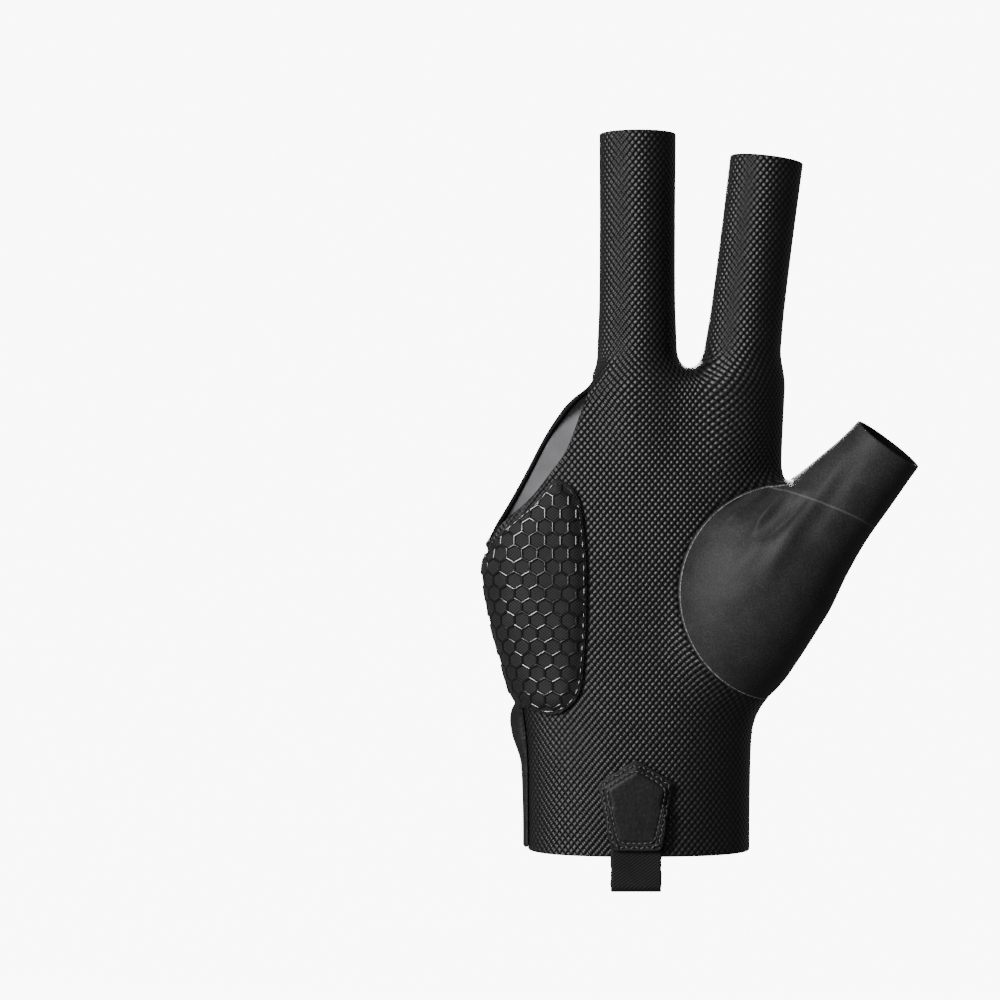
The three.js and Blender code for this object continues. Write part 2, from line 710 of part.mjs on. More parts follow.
// A folded piece of webbing that straddles the hem, as a profile swept across its width.
function pullLoop() {
  const outside = -wristDepth / 2 - seamGap - webbingThickness;
  const inside = -wristDepth / 2 + clothWall + seamGap * 1.5 + webbingThickness;
  const bend = (inside - outside) / 2;
  const middle = (inside + outside) / 2;
  const profile = new THREE.Shape();
  profile.moveTo(outside, webbingOuterLeg);
  profile.lineTo(outside, -webbingDrop + bend);
  profile.absarc(middle, -webbingDrop + bend, bend, Math.PI, 2 * Math.PI, false);
  profile.lineTo(inside, webbingInnerLeg);
  profile.lineTo(inside - webbingThickness, webbingInnerLeg);
  profile.lineTo(inside - webbingThickness, -webbingDrop + bend);
  profile.absarc(middle, -webbingDrop + bend, bend - webbingThickness, 2 * Math.PI, Math.PI, true);
  profile.lineTo(outside + webbingThickness, webbingOuterLeg);
  const geometry = new THREE.ExtrudeGeometry(profile, {
    depth: webbingWidth,
    bevelEnabled: false,
    curveSegments: 6,
  });
  // The profile's own x is the part's Y, its y is the part's Z and its sweep is the part's X.
  const turned = new THREE.Matrix4().makeBasis(
    new THREE.Vector3(0, 1, 0),
    new THREE.Vector3(0, 0, 1),
    new THREE.Vector3(1, 0, 0),
  );
  return geometry.applyMatrix4(turned).translate(patchCentre - webbingWidth / 2, 0, 0);
}

const patchShape = new THREE.Shape([
  new THREE.Vector2(patchCentre - patchFoot / 2, patchBottom),
  new THREE.Vector2(patchCentre + patchFoot / 2, patchBottom),
  new THREE.Vector2(patchCentre + patchShoulder / 2, patchBottom + patchShoulderHeight),
  new THREE.Vector2(patchCentre, patchBottom + patchHeight),
  new THREE.Vector2(patchCentre - patchShoulder / 2, patchBottom + patchShoulderHeight),
]);

// The five-sided patch that is sewn over the end of the webbing, and rises over it.
function loopPatch() {
  const palmSide = (p) => sideSeam(p.z) - p.y;
  const corners = patchShape.getPoints().slice(0, 5);
  const edges = corners.map((a, i) => {
    const b = corners[(i + 1) % corners.length];
    return (p) => ((b.x - a.x) * (p.z - a.y) - (b.y - a.y) * (p.x - a.x)) / a.distanceTo(b);
  });
  const ramp = webbingThickness;
  const overLoop = (p) =>
    Math.min(
      webbingWidth / 2 + 2 * seamGap - Math.abs(p.x - patchCentre),
      webbingOuterLeg + 2 * seamGap - p.z,
    );
  const folds = [overLoop, (p) => overLoop(p) + ramp];
  const panel = folds.reduce(crease, [palmSide, ...edges].reduce(cut, glove));
  const under = (p) =>
    seamGap + (webbingThickness + 3 * seamGap) * clamp(1 + overLoop(p) / ramp, 0, 1);
  return thicken(panel, under, (p) => under(p) + patchThickness);
}

addPiece("palm_panel", palmPanel(), materials.knit);
addPiece("back_panel", backPanel(), materials.lycra);
addPiece("cuff_panel", cuffPanel(), materials.lycra);
addPiece("thumb_piece", thumbPiece(), materials.microfibre);
addPiece("opening_binding", edgeBinding(), materials.binding);
addPiece("grip_pad", gripPad(), materials.silicone);
addPiece("strap_base", strapBase(), materials.leatherette);
addPiece("hook_patch", hookPatch(), materials.hook);
addPiece("closure_tab", closureTab(), materials.leatherette);
addPiece("pull_loop", pullLoop(), materials.webbing);
addPiece("loop_patch", loopPatch(), materials.leatherette);

export default group;
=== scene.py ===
# %% [markdown]
# # A billiard glove
#
# This script dresses a finished construction model with cloth, stitches and print. The
# construction model gives the shape of each panel. Here the same hand form is computed again,
# much finer, and each panel is cut from it with soft edges, so that the render shows fabric and
# not facets. All lengths below are millimetres until a mesh is made, because that is how a glove
# is measured.

import math

import bpy
import numpy as np
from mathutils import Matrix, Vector


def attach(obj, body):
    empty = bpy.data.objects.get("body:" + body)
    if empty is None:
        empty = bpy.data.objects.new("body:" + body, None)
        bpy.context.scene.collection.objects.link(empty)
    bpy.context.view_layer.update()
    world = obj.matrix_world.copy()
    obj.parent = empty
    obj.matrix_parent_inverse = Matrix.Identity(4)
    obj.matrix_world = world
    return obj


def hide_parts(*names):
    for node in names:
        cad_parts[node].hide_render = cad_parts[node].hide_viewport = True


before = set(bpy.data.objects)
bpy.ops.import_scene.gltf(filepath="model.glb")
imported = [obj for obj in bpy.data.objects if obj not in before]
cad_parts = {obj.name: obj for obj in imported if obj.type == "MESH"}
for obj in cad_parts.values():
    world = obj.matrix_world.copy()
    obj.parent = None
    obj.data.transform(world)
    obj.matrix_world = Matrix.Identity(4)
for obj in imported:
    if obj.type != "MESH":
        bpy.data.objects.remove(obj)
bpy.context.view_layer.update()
MM = 0.001
print("panels:", sorted(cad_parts))

# %% [markdown]
# ## The hand inside the glove
#
# A glove takes its form from the hand that wears it. The hand is four limbs: the body of the
# hand, two fingers and the thumb. Each limb is a table of sections along an axis. The limbs are
# blended as distance fields, because that gives the soft fork between the fingers without any
# modelling by hand.

# %% Sizes of the hand
HAND_LENGTH = 140.0
PALM_WIDTH, PALM_DEPTH = 86.0, 31.0
WRIST_WIDTH, WRIST_DEPTH = 65.0, 39.0
MIDDLE_LENGTH, MIDDLE_WIDTH, MIDDLE_PLACE = 69.0, 22.4, 0.4
INDEX_LENGTH, INDEX_WIDTH, INDEX_PLACE, INDEX_LEAN = 61.5, 21.6, 30.6, math.radians(7)
FINGER_DEPTH, FINGER_BEND = 20.5, 3.0
THUMB_LENGTH, THUMB_WIDTH, THUMB_BASE = 74.0, 21.7, 38.0
THUMB_LEAN, THUMB_FORWARD = math.radians(36.7), math.radians(12)
THUMB_ROOT = np.array([28.0, -4.0, 60.0])
KNUCKLE_SLANT, KNUCKLE_TURN = 0.8, -9.0
WEB_ROUND, THUMB_ROUND = 7.0, 11.0
CLOTH_WALL = 1.2
BODY_SQUARE, FINGER_SQUARE, THUMB_SQUARE = 2.5, 2.1, 2.05  # 2 is an ellipse, more is squarer

# columns: rise, spread from wrist to palm, shift, thick, back
BODY_TABLE = np.array(
    [
        [-0.16, 0, 0.009, 1, 0],
        [0.14, 0.02, 0.009, 1, 0],
        [0.27, 0.14, 0.006, 0.98, 0],
        [0.37, 0.46, 0.006, 0.97, -0.01],
        [0.47, 0.8, 0.004, 0.99, -0.02],
        [0.57, 1, 0, 1, -0.02],
        [0.68, 1.05, -0.007, 0.97, 0],
        [0.79, 1.05, -0.009, 0.92, 0.02],
        [0.88, 1.01, -0.004, 0.84, 0.02],
        [1.1, 0.98, 0, 0.7, 0.01],
    ]
)
# columns: reach, wide, thick, bend
FINGER_TABLE = np.array(
    [
        [-0.6, 0.9, 0.9, -0.3],
        [-0.25, 1.03, 1.12, -0.3],
        [0.05, 1.05, 1.1, -0.1],
        [0.3, 1.0, 1.02, 0.15],
        [0.65, 0.99, 1.0, 0.55],
        [1, 1.0, 0.98, 1],
        [1.3, 1.0, 0.98, 1.3],
    ]
)
# columns: reach, base (1 is the ball of the thumb), wide, thick, side
THUMB_TABLE = np.array(
    [
        [-0.3, 1, 0.4, 0.35, 0],
        [0, 1, 0.9, 0.8, 0],
        [0.31, 1, 1, 0.82, -0.11],
        [0.5, 0.6, 1, 0.92, -0.09],
        [0.65, 0.32, 1, 0.97, -0.06],
        [0.8, 0.17, 1, 0.98, -0.03],
        [1, 0, 1, 0.98, 0],
        [1.15, 0, 1, 0.98, 0],
    ]
)


# %% Turn the tables into limbs
def mix(a, b, t):
    return a + (b - a) * t


def smooth_step(t):
    return t**2 * (3 - 2 * t)


def bell(t):
    return np.exp(-(t**2))


def smooth_column(keys, values, at):
    """A smooth curve through a table's rows, read at many places at once."""
    place = np.clip(at, keys[0], keys[-1])
    i = np.clip(np.searchsorted(keys, place, side="right") - 1, 0, len(keys) - 2)
    before = np.maximum(np.arange(len(keys)) - 1, 0)
    after = np.minimum(np.arange(len(keys)) + 1, len(keys) - 1)
    slope = (values[after] - values[before]) / (keys[after] - keys[before])
    span = keys[i + 1] - keys[i]
    t = (place - keys[i]) / span
    return (
        (2 * t**3 - 3 * t**2 + 1) * values[i]
        + (t**3 - 2 * t**2 + t) * span * slope[i]
        + (3 * t**2 - 2 * t**3) * values[i + 1]
        + (t**3 - t**2) * span * slope[i + 1]
    )


def limb(origin, axis, side, depth, squareness, along, **columns):
    """A limb: where it starts, its own axes, and a column for each size that changes along it."""
    return dict(origin=origin, axis=axis, side=side, depth=depth, squareness=squareness,
                along=along, columns=columns)


X, Y, Z = np.eye(3)
rise, spread, shift, thick, back = BODY_TABLE.T
BODY = limb(
    [0, 0, 0], Z, X, Y, BODY_SQUARE, rise * HAND_LENGTH,
    shift=shift * PALM_WIDTH, back=back * PALM_DEPTH,
    half_side=mix(WRIST_WIDTH, PALM_WIDTH, spread) / 2,
    half_depth=mix(WRIST_DEPTH, PALM_DEPTH, np.minimum(spread, 1)) * thick / 2,
)


def finger(place, lean, length, width):
    reach, wide, thick, bend = FINGER_TABLE.T
    return limb(
        [place, 0, HAND_LENGTH], Z, X, Y, FINGER_SQUARE, reach * length,
        shift=reach * length * math.tan(lean), back=-bend * FINGER_BEND,
        half_side=wide * width / 2, half_depth=thick * FINGER_DEPTH / 2,
    )


MIDDLE = finger(MIDDLE_PLACE, 0, MIDDLE_LENGTH, MIDDLE_WIDTH)
INDEX = finger(INDEX_PLACE, INDEX_LEAN, INDEX_LENGTH, INDEX_WIDTH)

THUMB_AXIS = np.array(
    [
        math.sin(THUMB_LEAN) * math.cos(THUMB_FORWARD),
        -math.sin(THUMB_FORWARD),
        math.cos(THUMB_LEAN) * math.cos(THUMB_FORWARD),
    ]
)
THUMB_SIDE = np.array([math.cos(THUMB_LEAN), 0, -math.sin(THUMB_LEAN)])
reach, base, wide, thick, side = THUMB_TABLE.T
thumb_width = mix(THUMB_WIDTH, THUMB_BASE, base)
THUMB = limb(
    THUMB_ROOT, THUMB_AXIS, THUMB_SIDE, np.cross(THUMB_AXIS, THUMB_SIDE), THUMB_SQUARE,
    reach * THUMB_LENGTH, shift=side * THUMB_WIDTH, back=0 * reach,
    half_side=wide * thumb_width / 2, half_depth=thick * thumb_width / 2,
)
print("thumb leans", round(math.degrees(THUMB_LEAN), 1), "degrees")


# %% Blend the limbs into one distance field
def sizes_at(limb, along):
    """A limb's sizes at places along it, read off its smooth columns."""
    return {name: smooth_column(limb["along"], v, along) for name, v in limb["columns"].items()}


def section(limb, points):
    """Where points lie in a limb: along it, and as shares of its half width and half depth."""
    offset = points - limb["origin"]
    along = offset @ limb["axis"]
    at = sizes_at(limb, along)
    side = (offset @ limb["side"] - at["shift"]) / at["half_side"]
    depth = (offset @ limb["depth"] - at["back"]) / at["half_depth"]
    return along, side, depth, at


def limb_distance(limb, points):
    along, side, depth, at = section(limb, points)
    side, depth = np.abs(side) + 1e-6, np.abs(depth) + 1e-6
    n = limb["squareness"]
    ratio = (side**n + depth**n) ** (1 / n)
    steepness = np.hypot(
        (side / ratio) ** (n - 1) / at["half_side"], (depth / ratio) ** (n - 1) / at["half_depth"]
    )
    ends = np.maximum(limb["along"][0] - along, along - limb["along"][-1])
    return np.maximum((ratio - 1) / steepness, ends)


def soft_union(a, b, fillet):
    near = np.maximum(fillet - np.abs(a - b), 0) / fillet
    return np.minimum(a, b) - near**2 * fillet / 4


# columns: x, z, turn from upright, long, wide, high
FOLDS = [
    (43.0, 95.2, 22, 17.4, 2.8, 1.0),
    (36.1, 92.4, 40, 13.0, 2.6, 0.87),
    (29.2, 96.6, 62, 10.9, 2.4, 0.65),
]


def ridges(points, table, bluntness):
    """The height of soft ridges, each along a leaning line through its x and z."""
    height = np.zeros(len(points))
    for x, z, turn, long, wide, high in table:
        turn = math.radians(turn)
        dx, dz = points[:, 0] - x, points[:, 2] - z
        along = dx * math.sin(turn) + dz * math.cos(turn)
        across = dx * math.cos(turn) - dz * math.sin(turn)
        height += high * np.exp(-((along / long) ** bluntness) - (across / wide) ** 2)
    return height


def fold_height(points):
    """The broad folds between palm and thumb, which fade out towards the back."""
    return ridges(points, FOLDS, 2) / (1 + np.exp(2 * points[:, 1]))


def hand_distance(points):
    slant = KNUCKLE_SLANT * np.maximum(KNUCKLE_TURN - points[:, 0], 0)
    knuckles = points[:, 2] - HAND_LENGTH + slant
    body = -soft_union(-limb_distance(BODY, points), -knuckles, WEB_ROUND)
    fingers = limb_distance(MIDDLE, points), limb_distance(INDEX, points)
    fingers = soft_union(*fingers, WEB_ROUND * 0.6)
    hand = soft_union(body, fingers, WEB_ROUND)
    return soft_union(hand, limb_distance(THUMB, points), THUMB_ROUND) - fold_height(points)


def slope_of(field, points, step=0.05):
    return np.stack(
        [(field(points + step * a) - field(points - step * a)) / (2 * step) for a in (X, Y, Z)], 1
    )


def onto_hand(points, turns=3):
    """Moves points that are close to the hand's surface on to it."""
    for _ in range(turns):
        slope = slope_of(hand_distance, points)
        step = hand_distance(points) / np.maximum((slope**2).sum(1), 1e-3)
        points = points - np.clip(step, -2, 2)[:, None] * slope
    return points


def hand_normals(points):
    slope = slope_of(hand_distance, points)
    return slope / np.linalg.norm(slope, axis=1)[:, None]


# %% [markdown]
# ## From the field to a fine sheet
#
# A surface net puts one point in every small cell that the surface crosses and joins neighbours
# with quadrilaterals. It gives an even mesh over fork, thumb and palm alike, which a loft can't
# do where limbs meet. The panels are then cut from this one sheet, so neighbours fit each other
# exactly.

# %% The surface net
CELL = 1.25
LOW, HIGH = (-50, -34, -14), (88, 24, 216)  # a box round the whole hand


def surface_net(low, high, cell):
    axes = [np.arange(low[a], high[a] + cell, cell) for a in range(3)]
    count = [len(a) for a in axes]
    value = np.empty(count)
    for i, x in enumerate(axes[0]):
        layer = np.stack(np.meshgrid([x], axes[1], axes[2], indexing="ij"), -1).reshape(-1, 3)
        value[i] = hand_distance(layer).reshape(count[1:])
    inside = value < 0
    corners = [(a, b, c) for a in (0, 1) for b in (0, 1) for c in (0, 1)]
    tally = sum(
        inside[a : count[0] - 1 + a, b : count[1] - 1 + b, c : count[2] - 1 + c].astype(int)
        for a, b, c in corners
    )
    cells = np.argwhere((tally > 0) & (tally < 8))
    number = -np.ones([n - 1 for n in count], int)
    number[tuple(cells.T)] = np.arange(len(cells))
    total, hits = np.zeros((len(cells), 3)), np.zeros(len(cells))
    for m, a in enumerate(corners):
        for b in corners[m + 1 :]:
            if sum(abs(np.subtract(a, b))) != 1:
                continue
            va = value[tuple((cells + a).T)]
            vb = value[tuple((cells + b).T)]
            crossed = (va < 0) != (vb < 0)
            t = np.where(crossed, va / np.where(crossed, va - vb, 1), 0)
            place = cells + np.array(a) + t[:, None] * np.subtract(b, a)
            total += np.where(crossed[:, None], place, 0)
            hits += crossed
    points = np.array(low) + total / hits[:, None] * cell
    quads = []
    for axis in range(3):
        u, v = [(1, 2), (2, 0), (0, 1)][axis]
        step = np.eye(3, dtype=int)
        near = inside[tuple(slice(0, n - 1) for n in count)]
        far = inside[tuple(slice(s, n - 1 + s) for n, s in zip(count, step[axis]))]
        at = np.argwhere(near != far)
        at = at[(at[:, u] > 0) & (at[:, v] > 0)]
        ring = [at - step[u] - step[v], at - step[v], at, at - step[u]]
        quad = np.stack([number[tuple(r.T)] for r in ring], 1)
        turned = ~inside[tuple(at.T)]
        quad[turned] = quad[turned][:, ::-1]
        quads.append(quad)
    return points, np.concatenate(quads)


def relax(points, quads, turns=4):
    """Evens out the net while it stays on the hand."""
    pairs = np.concatenate([quads[:, [i, (i + 1) % 4]] for i in range(4)])
    pairs = np.concatenate([pairs, pairs[:, ::-1]])
    degree = np.bincount(pairs[:, 0], minlength=len(points))[:, None]
    for _ in range(turns):
        total = np.zeros_like(points)
        for a in range(3):
            total[:, a] = np.bincount(pairs[:, 0], points[pairs[:, 1], a], len(points))
        points = onto_hand(mix(points, total / degree, 0.6), 1)
    return onto_hand(points, 2)


def triangles(points, quads):
    """Splits each quadrilateral along its shorter diagonal."""
    a, b, c, d = quads.T
    ac, bd = (np.linalg.norm(points[p] - points[q], axis=1) for p, q in ((a, c), (b, d)))
    short = ac < bd
    first = np.where(short[:, None], np.stack([a, b, c], 1), np.stack([a, b, d], 1))
    second = np.where(short[:, None], np.stack([a, c, d], 1), np.stack([b, c, d], 1))
    return np.concatenate([first, second])


net_points, net_quads = surface_net(LOW, HIGH, CELL)
net_points = relax(net_points, net_quads)
form = (net_points, hand_normals(net_points), triangles(net_points, net_quads))
print("hand form:", len(net_points), "points")


# %% [markdown]
# ## Cutting a panel
#
# A seam is a line where some value is zero, such as the distance to a drawn curve. Cutting a
# sheet means splitting the triangles that the line crosses and keeping one side. The same lines
# later carry the stitches, so a stitch row always runs exactly beside its seam.


# %% Cut a sheet along a line
def cut(sheet, value_at, nearest=1e-4):
    """Keeps the side of a sheet where a value is above 0. No point may lie on the line itself."""
    points, normals, faces = sheet
    value = value_at(points)
    value = np.where(np.abs(value) < nearest, nearest, value)
    plus = value[faces] > 0
    kept = [faces[plus.all(1)]]
    mixed = faces[plus.any(1) & ~plus.all(1)]
    sign = value[mixed] > 0
    alone = np.where(sign.sum(1) == 1, sign.argmax(1), (~sign).argmax(1))
    rows = np.arange(len(mixed))
    p, q, r = (mixed[rows, (alone + k) % 3] for k in range(3))
    pairs = np.sort(np.concatenate([np.stack([p, q], 1), np.stack([p, r], 1)]), axis=1)
    unique, index = np.unique(pairs, axis=0, return_inverse=True)
    index = index.reshape(-1)
    low, high = unique.T
    t = (value[low] / (value[low] - value[high]))[:, None]
    new_points = mix(points[low], points[high], t)
    new_normals = mix(normals[low], normals[high], t)
    new_normals /= np.linalg.norm(new_normals, axis=1)[:, None]
    pq = index[: len(mixed)] + len(points)
    pr = index[len(mixed) :] + len(points)
    one = value[p] > 0
    kept.append(np.stack([p, pq, pr], 1)[one])
    kept.append(np.stack([pq, q, r], 1)[~one])
    kept.append(np.stack([pq, r, pr], 1)[~one])
    return tidy(
        np.concatenate([points, new_points]),
        np.concatenate([normals, new_normals]),
        np.concatenate(kept),
    )


def sides_of(faces):
    return np.concatenate([faces[:, [0, 1]], faces[:, [1, 2]], faces[:, [2, 0]]])


def tidy(points, normals, faces, shortest=0.09):
    """Joins points that almost touch, drops what folds flat and keeps the largest piece."""
    sides = sides_of(faces)
    short = np.linalg.norm(points[sides[:, 0]] - points[sides[:, 1]], axis=1) < shortest
    target = np.arange(len(points))
    for a, b in np.sort(sides[short], axis=1):
        while target[a] != a:
            a = target[a]
        while target[b] != b:
            b = target[b]
        target[b] = a
    while (target[target] != target).any():
        target = target[target]
    faces = target[faces]
    faces = faces[(faces != faces[:, [1, 2, 0]]).all(1)]
    _, index, copies = np.unique(
        np.sort(faces, axis=1), axis=0, return_inverse=True, return_counts=True
    )
    faces = faces[copies[index.reshape(-1)] == 1]
    label = np.arange(len(points))
    while True:
        lowest = label[faces].min(1)
        fresh = label.copy()
        for k in range(3):
            np.minimum.at(fresh, faces[:, k], lowest)
        fresh = fresh[fresh]
        if (fresh == label).all():
            break
        label = fresh
    names, sizes = np.unique(label[faces[:, 0]], return_counts=True)
    faces = faces[label[faces[:, 0]] == names[sizes.argmax()]]
    used, index = np.unique(faces, return_inverse=True)
    return points[used], normals[used], index.reshape(-1, 3)


def cut_all(sheet, *values):
    """Cuts a sheet along several lines, one after the other."""
    for value_at in values:
        sheet = cut(sheet, value_at)
    return sheet


def outline_of(sheet):
    """The directed edges of a sheet that belong to one triangle only."""
    sides, big = sides_of(sheet[2]), len(sheet[0]) + 1
    return sides[~np.isin(sides[:, 0] * big + sides[:, 1], sides[:, 1] * big + sides[:, 0])]


# %% Lines seen from the front
def edge_line(rows, steps=40):
    """A smooth drawn line through rows of x (share of half the palm) and z (share of the hand)."""
    table = np.array(rows) * [PALM_WIDTH / 2, HAND_LENGTH]
    table = np.vstack([2 * table[0] - table[1], table, 2 * table[-1] - table[-2]])
    out = []
    for i in range(1, len(table) - 2):
        a, b, c, d = table[i - 1 : i + 3]
        t = np.arange(steps)[:, None] / steps
        out.append(
            0.5 * (2 * b + (c - a) * t + (2 * a - 5 * b + 4 * c - d) * t**2
                   + (3 * b - a - 3 * c + d) * t**3)
        )
    return np.vstack(out + [table[-2:-1]])


def from_line(line, x, z):
    """The distance from a drawn line, as seen from the front."""
    best = np.full(len(x), np.inf)
    for a, b in zip(line[:-1], line[1:]):
        dx, dz = b - a
        t = np.clip(((x - a[0]) * dx + (z - a[1]) * dz) / (dx * dx + dz * dz), 0, 1)
        best = np.minimum(best, np.hypot(x - a[0] - t * dx, z - a[1] - t * dz))
    return best


def beside(line, points):
    """Above 0 on the right of a line that climbs all the way."""
    x, z = points[:, 0], points[:, 2]
    order = np.argsort(line[:, 1])
    side = np.sign(x - np.interp(z, line[order, 1], line[order, 0]))
    return side * from_line(line, x, z)


def within(outline, points):
    """Above 0 inside a closed outline."""
    x, z = points[:, 0], points[:, 2]
    closed = np.vstack([outline, outline[:1]])
    odd = np.zeros(len(x), bool)
    for a, b in zip(closed[:-1], closed[1:]):
        if a[1] == b[1]:
            continue
        crosses = (a[1] > z) != (b[1] > z)
        odd ^= crosses & (x < a[0] + (b[0] - a[0]) * (z - a[1]) / (b[1] - a[1]))
    return np.where(odd, 1, -1) * from_line(closed, x, z)


PALM_EDGE = edge_line(
    [(-1.4, 0.59), (-1.05, 0.625), (-0.944, 0.671), (-0.72, 0.733), (-0.59, 0.783),
     (-0.475, 0.833), (-0.383, 0.907), (-0.335, 0.95), (-0.3, 0.985),
     (-0.3, 1.03), (-0.3, 1.12), (-0.3, 1.3), (-0.3, 1.7)]
)
BACK_EDGE = edge_line(
    [(-1.4, 0.58), (-1.05, 0.615), (-0.9, 0.68), (-0.752, 0.757), (-0.58, 0.857),
     (-0.47, 0.91), (-0.4, 0.939), (-0.34, 0.957), (-0.3, 0.973), (-0.285, 0.992),
     (-0.29, 1.02), (-0.3, 1.06), (-0.3, 1.15), (-0.3, 1.35), (-0.3, 1.7)]
)
BACK_SEAM = edge_line(
    [(1.25, -0.2), (0.95, 0.16), (0.83, 0.26), (0.93, 0.39), (0.98, 0.52), (1, 0.64),
     (0.98, 0.83), (1.1, 0.93), (1.5, 1.7)]
)
THUMB_EDGE = edge_line(
    [(1.6, 0.38), (1.27, 0.44), (1.13, 0.51), (1.12, 0.6), (1.09, 0.68), (1.04, 0.766),
     (1.22, 0.83), (1.28, 0.95), (1.7, 1.1)]
)
# heights as shares of the hand, and how far back the side seam lies as shares of the palm's depth
SIDE_SEAM = np.array([[-0.2, 0.5, 0.9, 1.1, 1.5, 1.8], [0, 0, 0.04, 0.05, -0.03, -0.07]])


def behind_side_seam(points):
    return points[:, 1] - smooth_column(*SIDE_SEAM, points[:, 2] / HAND_LENGTH) * PALM_DEPTH


print("drawn lines:", [len(line) for line in (PALM_EDGE, BACK_EDGE, BACK_SEAM, THUMB_EDGE)])


# %% The values that are zero on each seam or edge, all in millimetres
CUFF_HEIGHT = 36.0
BALL_X, BALL_Z, BALL_RADIUS, BALL_SLANT = PALM_WIDTH / 2 + 0.2, 75.0, 31.6, 0.5


def below_index_tip(p):
    up = (p[:, 0] - INDEX_PLACE) * math.sin(INDEX_LEAN)
    up = up + (p[:, 2] - HAND_LENGTH) * math.cos(INDEX_LEAN)
    fork = (MIDDLE_PLACE + INDEX_PLACE) / 2
    return np.maximum(INDEX_LENGTH / math.cos(INDEX_LEAN) - up, fork - p[:, 0])


def below_thumb_tip(p):
    """The cut at the thumb's end stops below the fingers."""
    return np.maximum(THUMB_LENGTH - (p - THUMB_ROOT) @ THUMB_AXIS, p[:, 2] - HAND_LENGTH * 0.98)


def on_back(p):
    return np.minimum(behind_side_seam(p), -beside(BACK_SEAM, p))


def on_thumb(p):
    """The thumb's tube, and on the palm the round patch on its ball."""
    ball = BALL_RADIUS - np.hypot(p[:, 0] - BALL_X, p[:, 2] - BALL_Z)
    low = np.minimum(p[:, 2] - BALL_Z + BALL_RADIUS * 0.7, 0)
    palm_side = THUMB_ROOT[1] + BALL_SLANT * low - p[:, 1]
    return np.maximum(beside(THUMB_EDGE, p), np.minimum(ball, palm_side))


glove = cut_all(
    form,
    lambda p: p[:, 2],  # above the hem
    lambda p: HAND_LENGTH + MIDDLE_LENGTH - p[:, 2],
    below_index_tip,
    below_thumb_tip,
)
print("open glove:", len(glove[2]), "triangles")


# %% [markdown]
# ## Giving cloth a thickness
#
# Real cloth edges are round, never sharp, and a seam pulls the cloth down a little on both sides.
# The shell function makes both: it lifts the sheet to its outer and inner face, lets either face
# follow a height, and closes the edge with a half-round rim.


# %% Make a shell
def shell_arrays(sheet, inner, outer, bulge, rim_steps=4):
    """Corners and faces of a shell between two heights over a sheet. A rim with a small bulge is
    flatter than a half circle."""
    points, normals, faces = sheet
    count = len(points)
    inner = np.broadcast_to(inner, count)[:, None]
    outer = np.broadcast_to(outer, count)[:, None]
    sides = outline_of(sheet)
    tangent = points[sides[:, 1]] - points[sides[:, 0]]
    away = np.cross(tangent, normals[sides[:, 0]])
    away /= np.maximum(np.linalg.norm(away, axis=1), 1e-9)[:, None]
    push = np.zeros((count, 3))
    for k in range(2):
        np.add.at(push, sides[:, k], away)
    push /= np.maximum(np.linalg.norm(push, axis=1), 1e-9)[:, None]
    rim = np.unique(sides)
    place = -np.ones(count, int)
    place[rim] = np.arange(len(rim))
    middle, half = (outer + inner) / 2, (outer - inner) / 2
    verts = [points + outer * normals, points + inner * normals]
    source = [np.arange(count), np.arange(count)]
    for k in range(1, rim_steps):
        angle = math.pi * k / rim_steps
        lift = middle[rim] + half[rim] * math.cos(angle)
        verts.append(
            points[rim] + lift * normals[rim] + push[rim] * half[rim] * bulge * math.sin(angle)
        )
        source.append(rim)
    level = [np.arange(count)]
    level += [place + 2 * count + len(rim) * (k - 1) for k in range(1, rim_steps)]
    level += [np.arange(count) + count]
    all_faces = [faces, faces[:, ::-1] + count]
    a, b = sides.T
    for upper, lower in zip(level[:-1], level[1:]):
        all_faces.append(np.stack([upper[b], upper[a], lower[a]], 1))
        all_faces.append(np.stack([upper[b], lower[a], lower[b]], 1))
    parts = [len(f) for f in all_faces]
    return np.concatenate(verts), np.concatenate(all_faces), np.concatenate(source), parts


def place_object(name, data):
    """Puts a mesh, a light or a camera into the scene."""
    item = bpy.data.objects.new(name, data)
    bpy.context.scene.collection.objects.link(item)
    return item


def make_piece(name, verts_mm, faces, node, finish):
    """Makes a mesh that takes the place of a node of the construction model."""
    mesh = bpy.data.meshes.new(name)
    mesh.from_pydata(verts_mm * MM, [], faces)
    mesh.polygons.foreach_set("use_smooth", [True] * len(faces))
    mesh.validate()
    mesh.materials.append(finish)
    piece = place_object(name, mesh)
    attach(piece, "root")
    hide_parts(node)
    print(f"{name}: {len(faces)} faces")
    return piece


def give_uv(piece, uv_mm, turn_mm=None):
    """Puts a pattern's own coordinates, in millimetres, on each corner. Where a triangle spans the
    line at which the way round a limb starts again, its lower corners move on by one turn."""
    layer = piece.data.uv_layers.new(name="weave")
    corner = np.empty(len(piece.data.loops), int)
    piece.data.loops.foreach_get("vertex_index", corner)
    uv = uv_mm[corner]
    if turn_mm is not None:
        around, turn = uv[:, 0].reshape(-1, 3), turn_mm[corner].reshape(-1, 3)
        broken = np.ptp(around, axis=1) > turn.min(1) / 2
        low = around < around.mean(1)[:, None]
        uv[:, 0] = np.where(broken[:, None] & low, around + turn, around).reshape(-1)
    layer.data.foreach_set("uv", uv.reshape(-1))


def make_shell(name, sheet, inner, outer, node, finish, bulge=0.5, uv=None):
    verts, faces, source, parts = shell_arrays(sheet, inner, outer, bulge)
    piece = make_piece(name, verts, faces, node, finish)
    if uv is not None:
        around = uv(sheet[0])[source]
        give_uv(piece, around[:, :2], around[:, 2])
    return piece, parts


# %% [markdown]
# ## Colours and finishes
#
# Each finish starts from the real cloth: what the yarn is, how it is made and how coarse it is.
# Cloth looks dark because light gets lost between its fibres, so the black cloths keep a low
# specular level. One function turns a screen colour into the linear colour that the shader wants,
# and one adds a node.


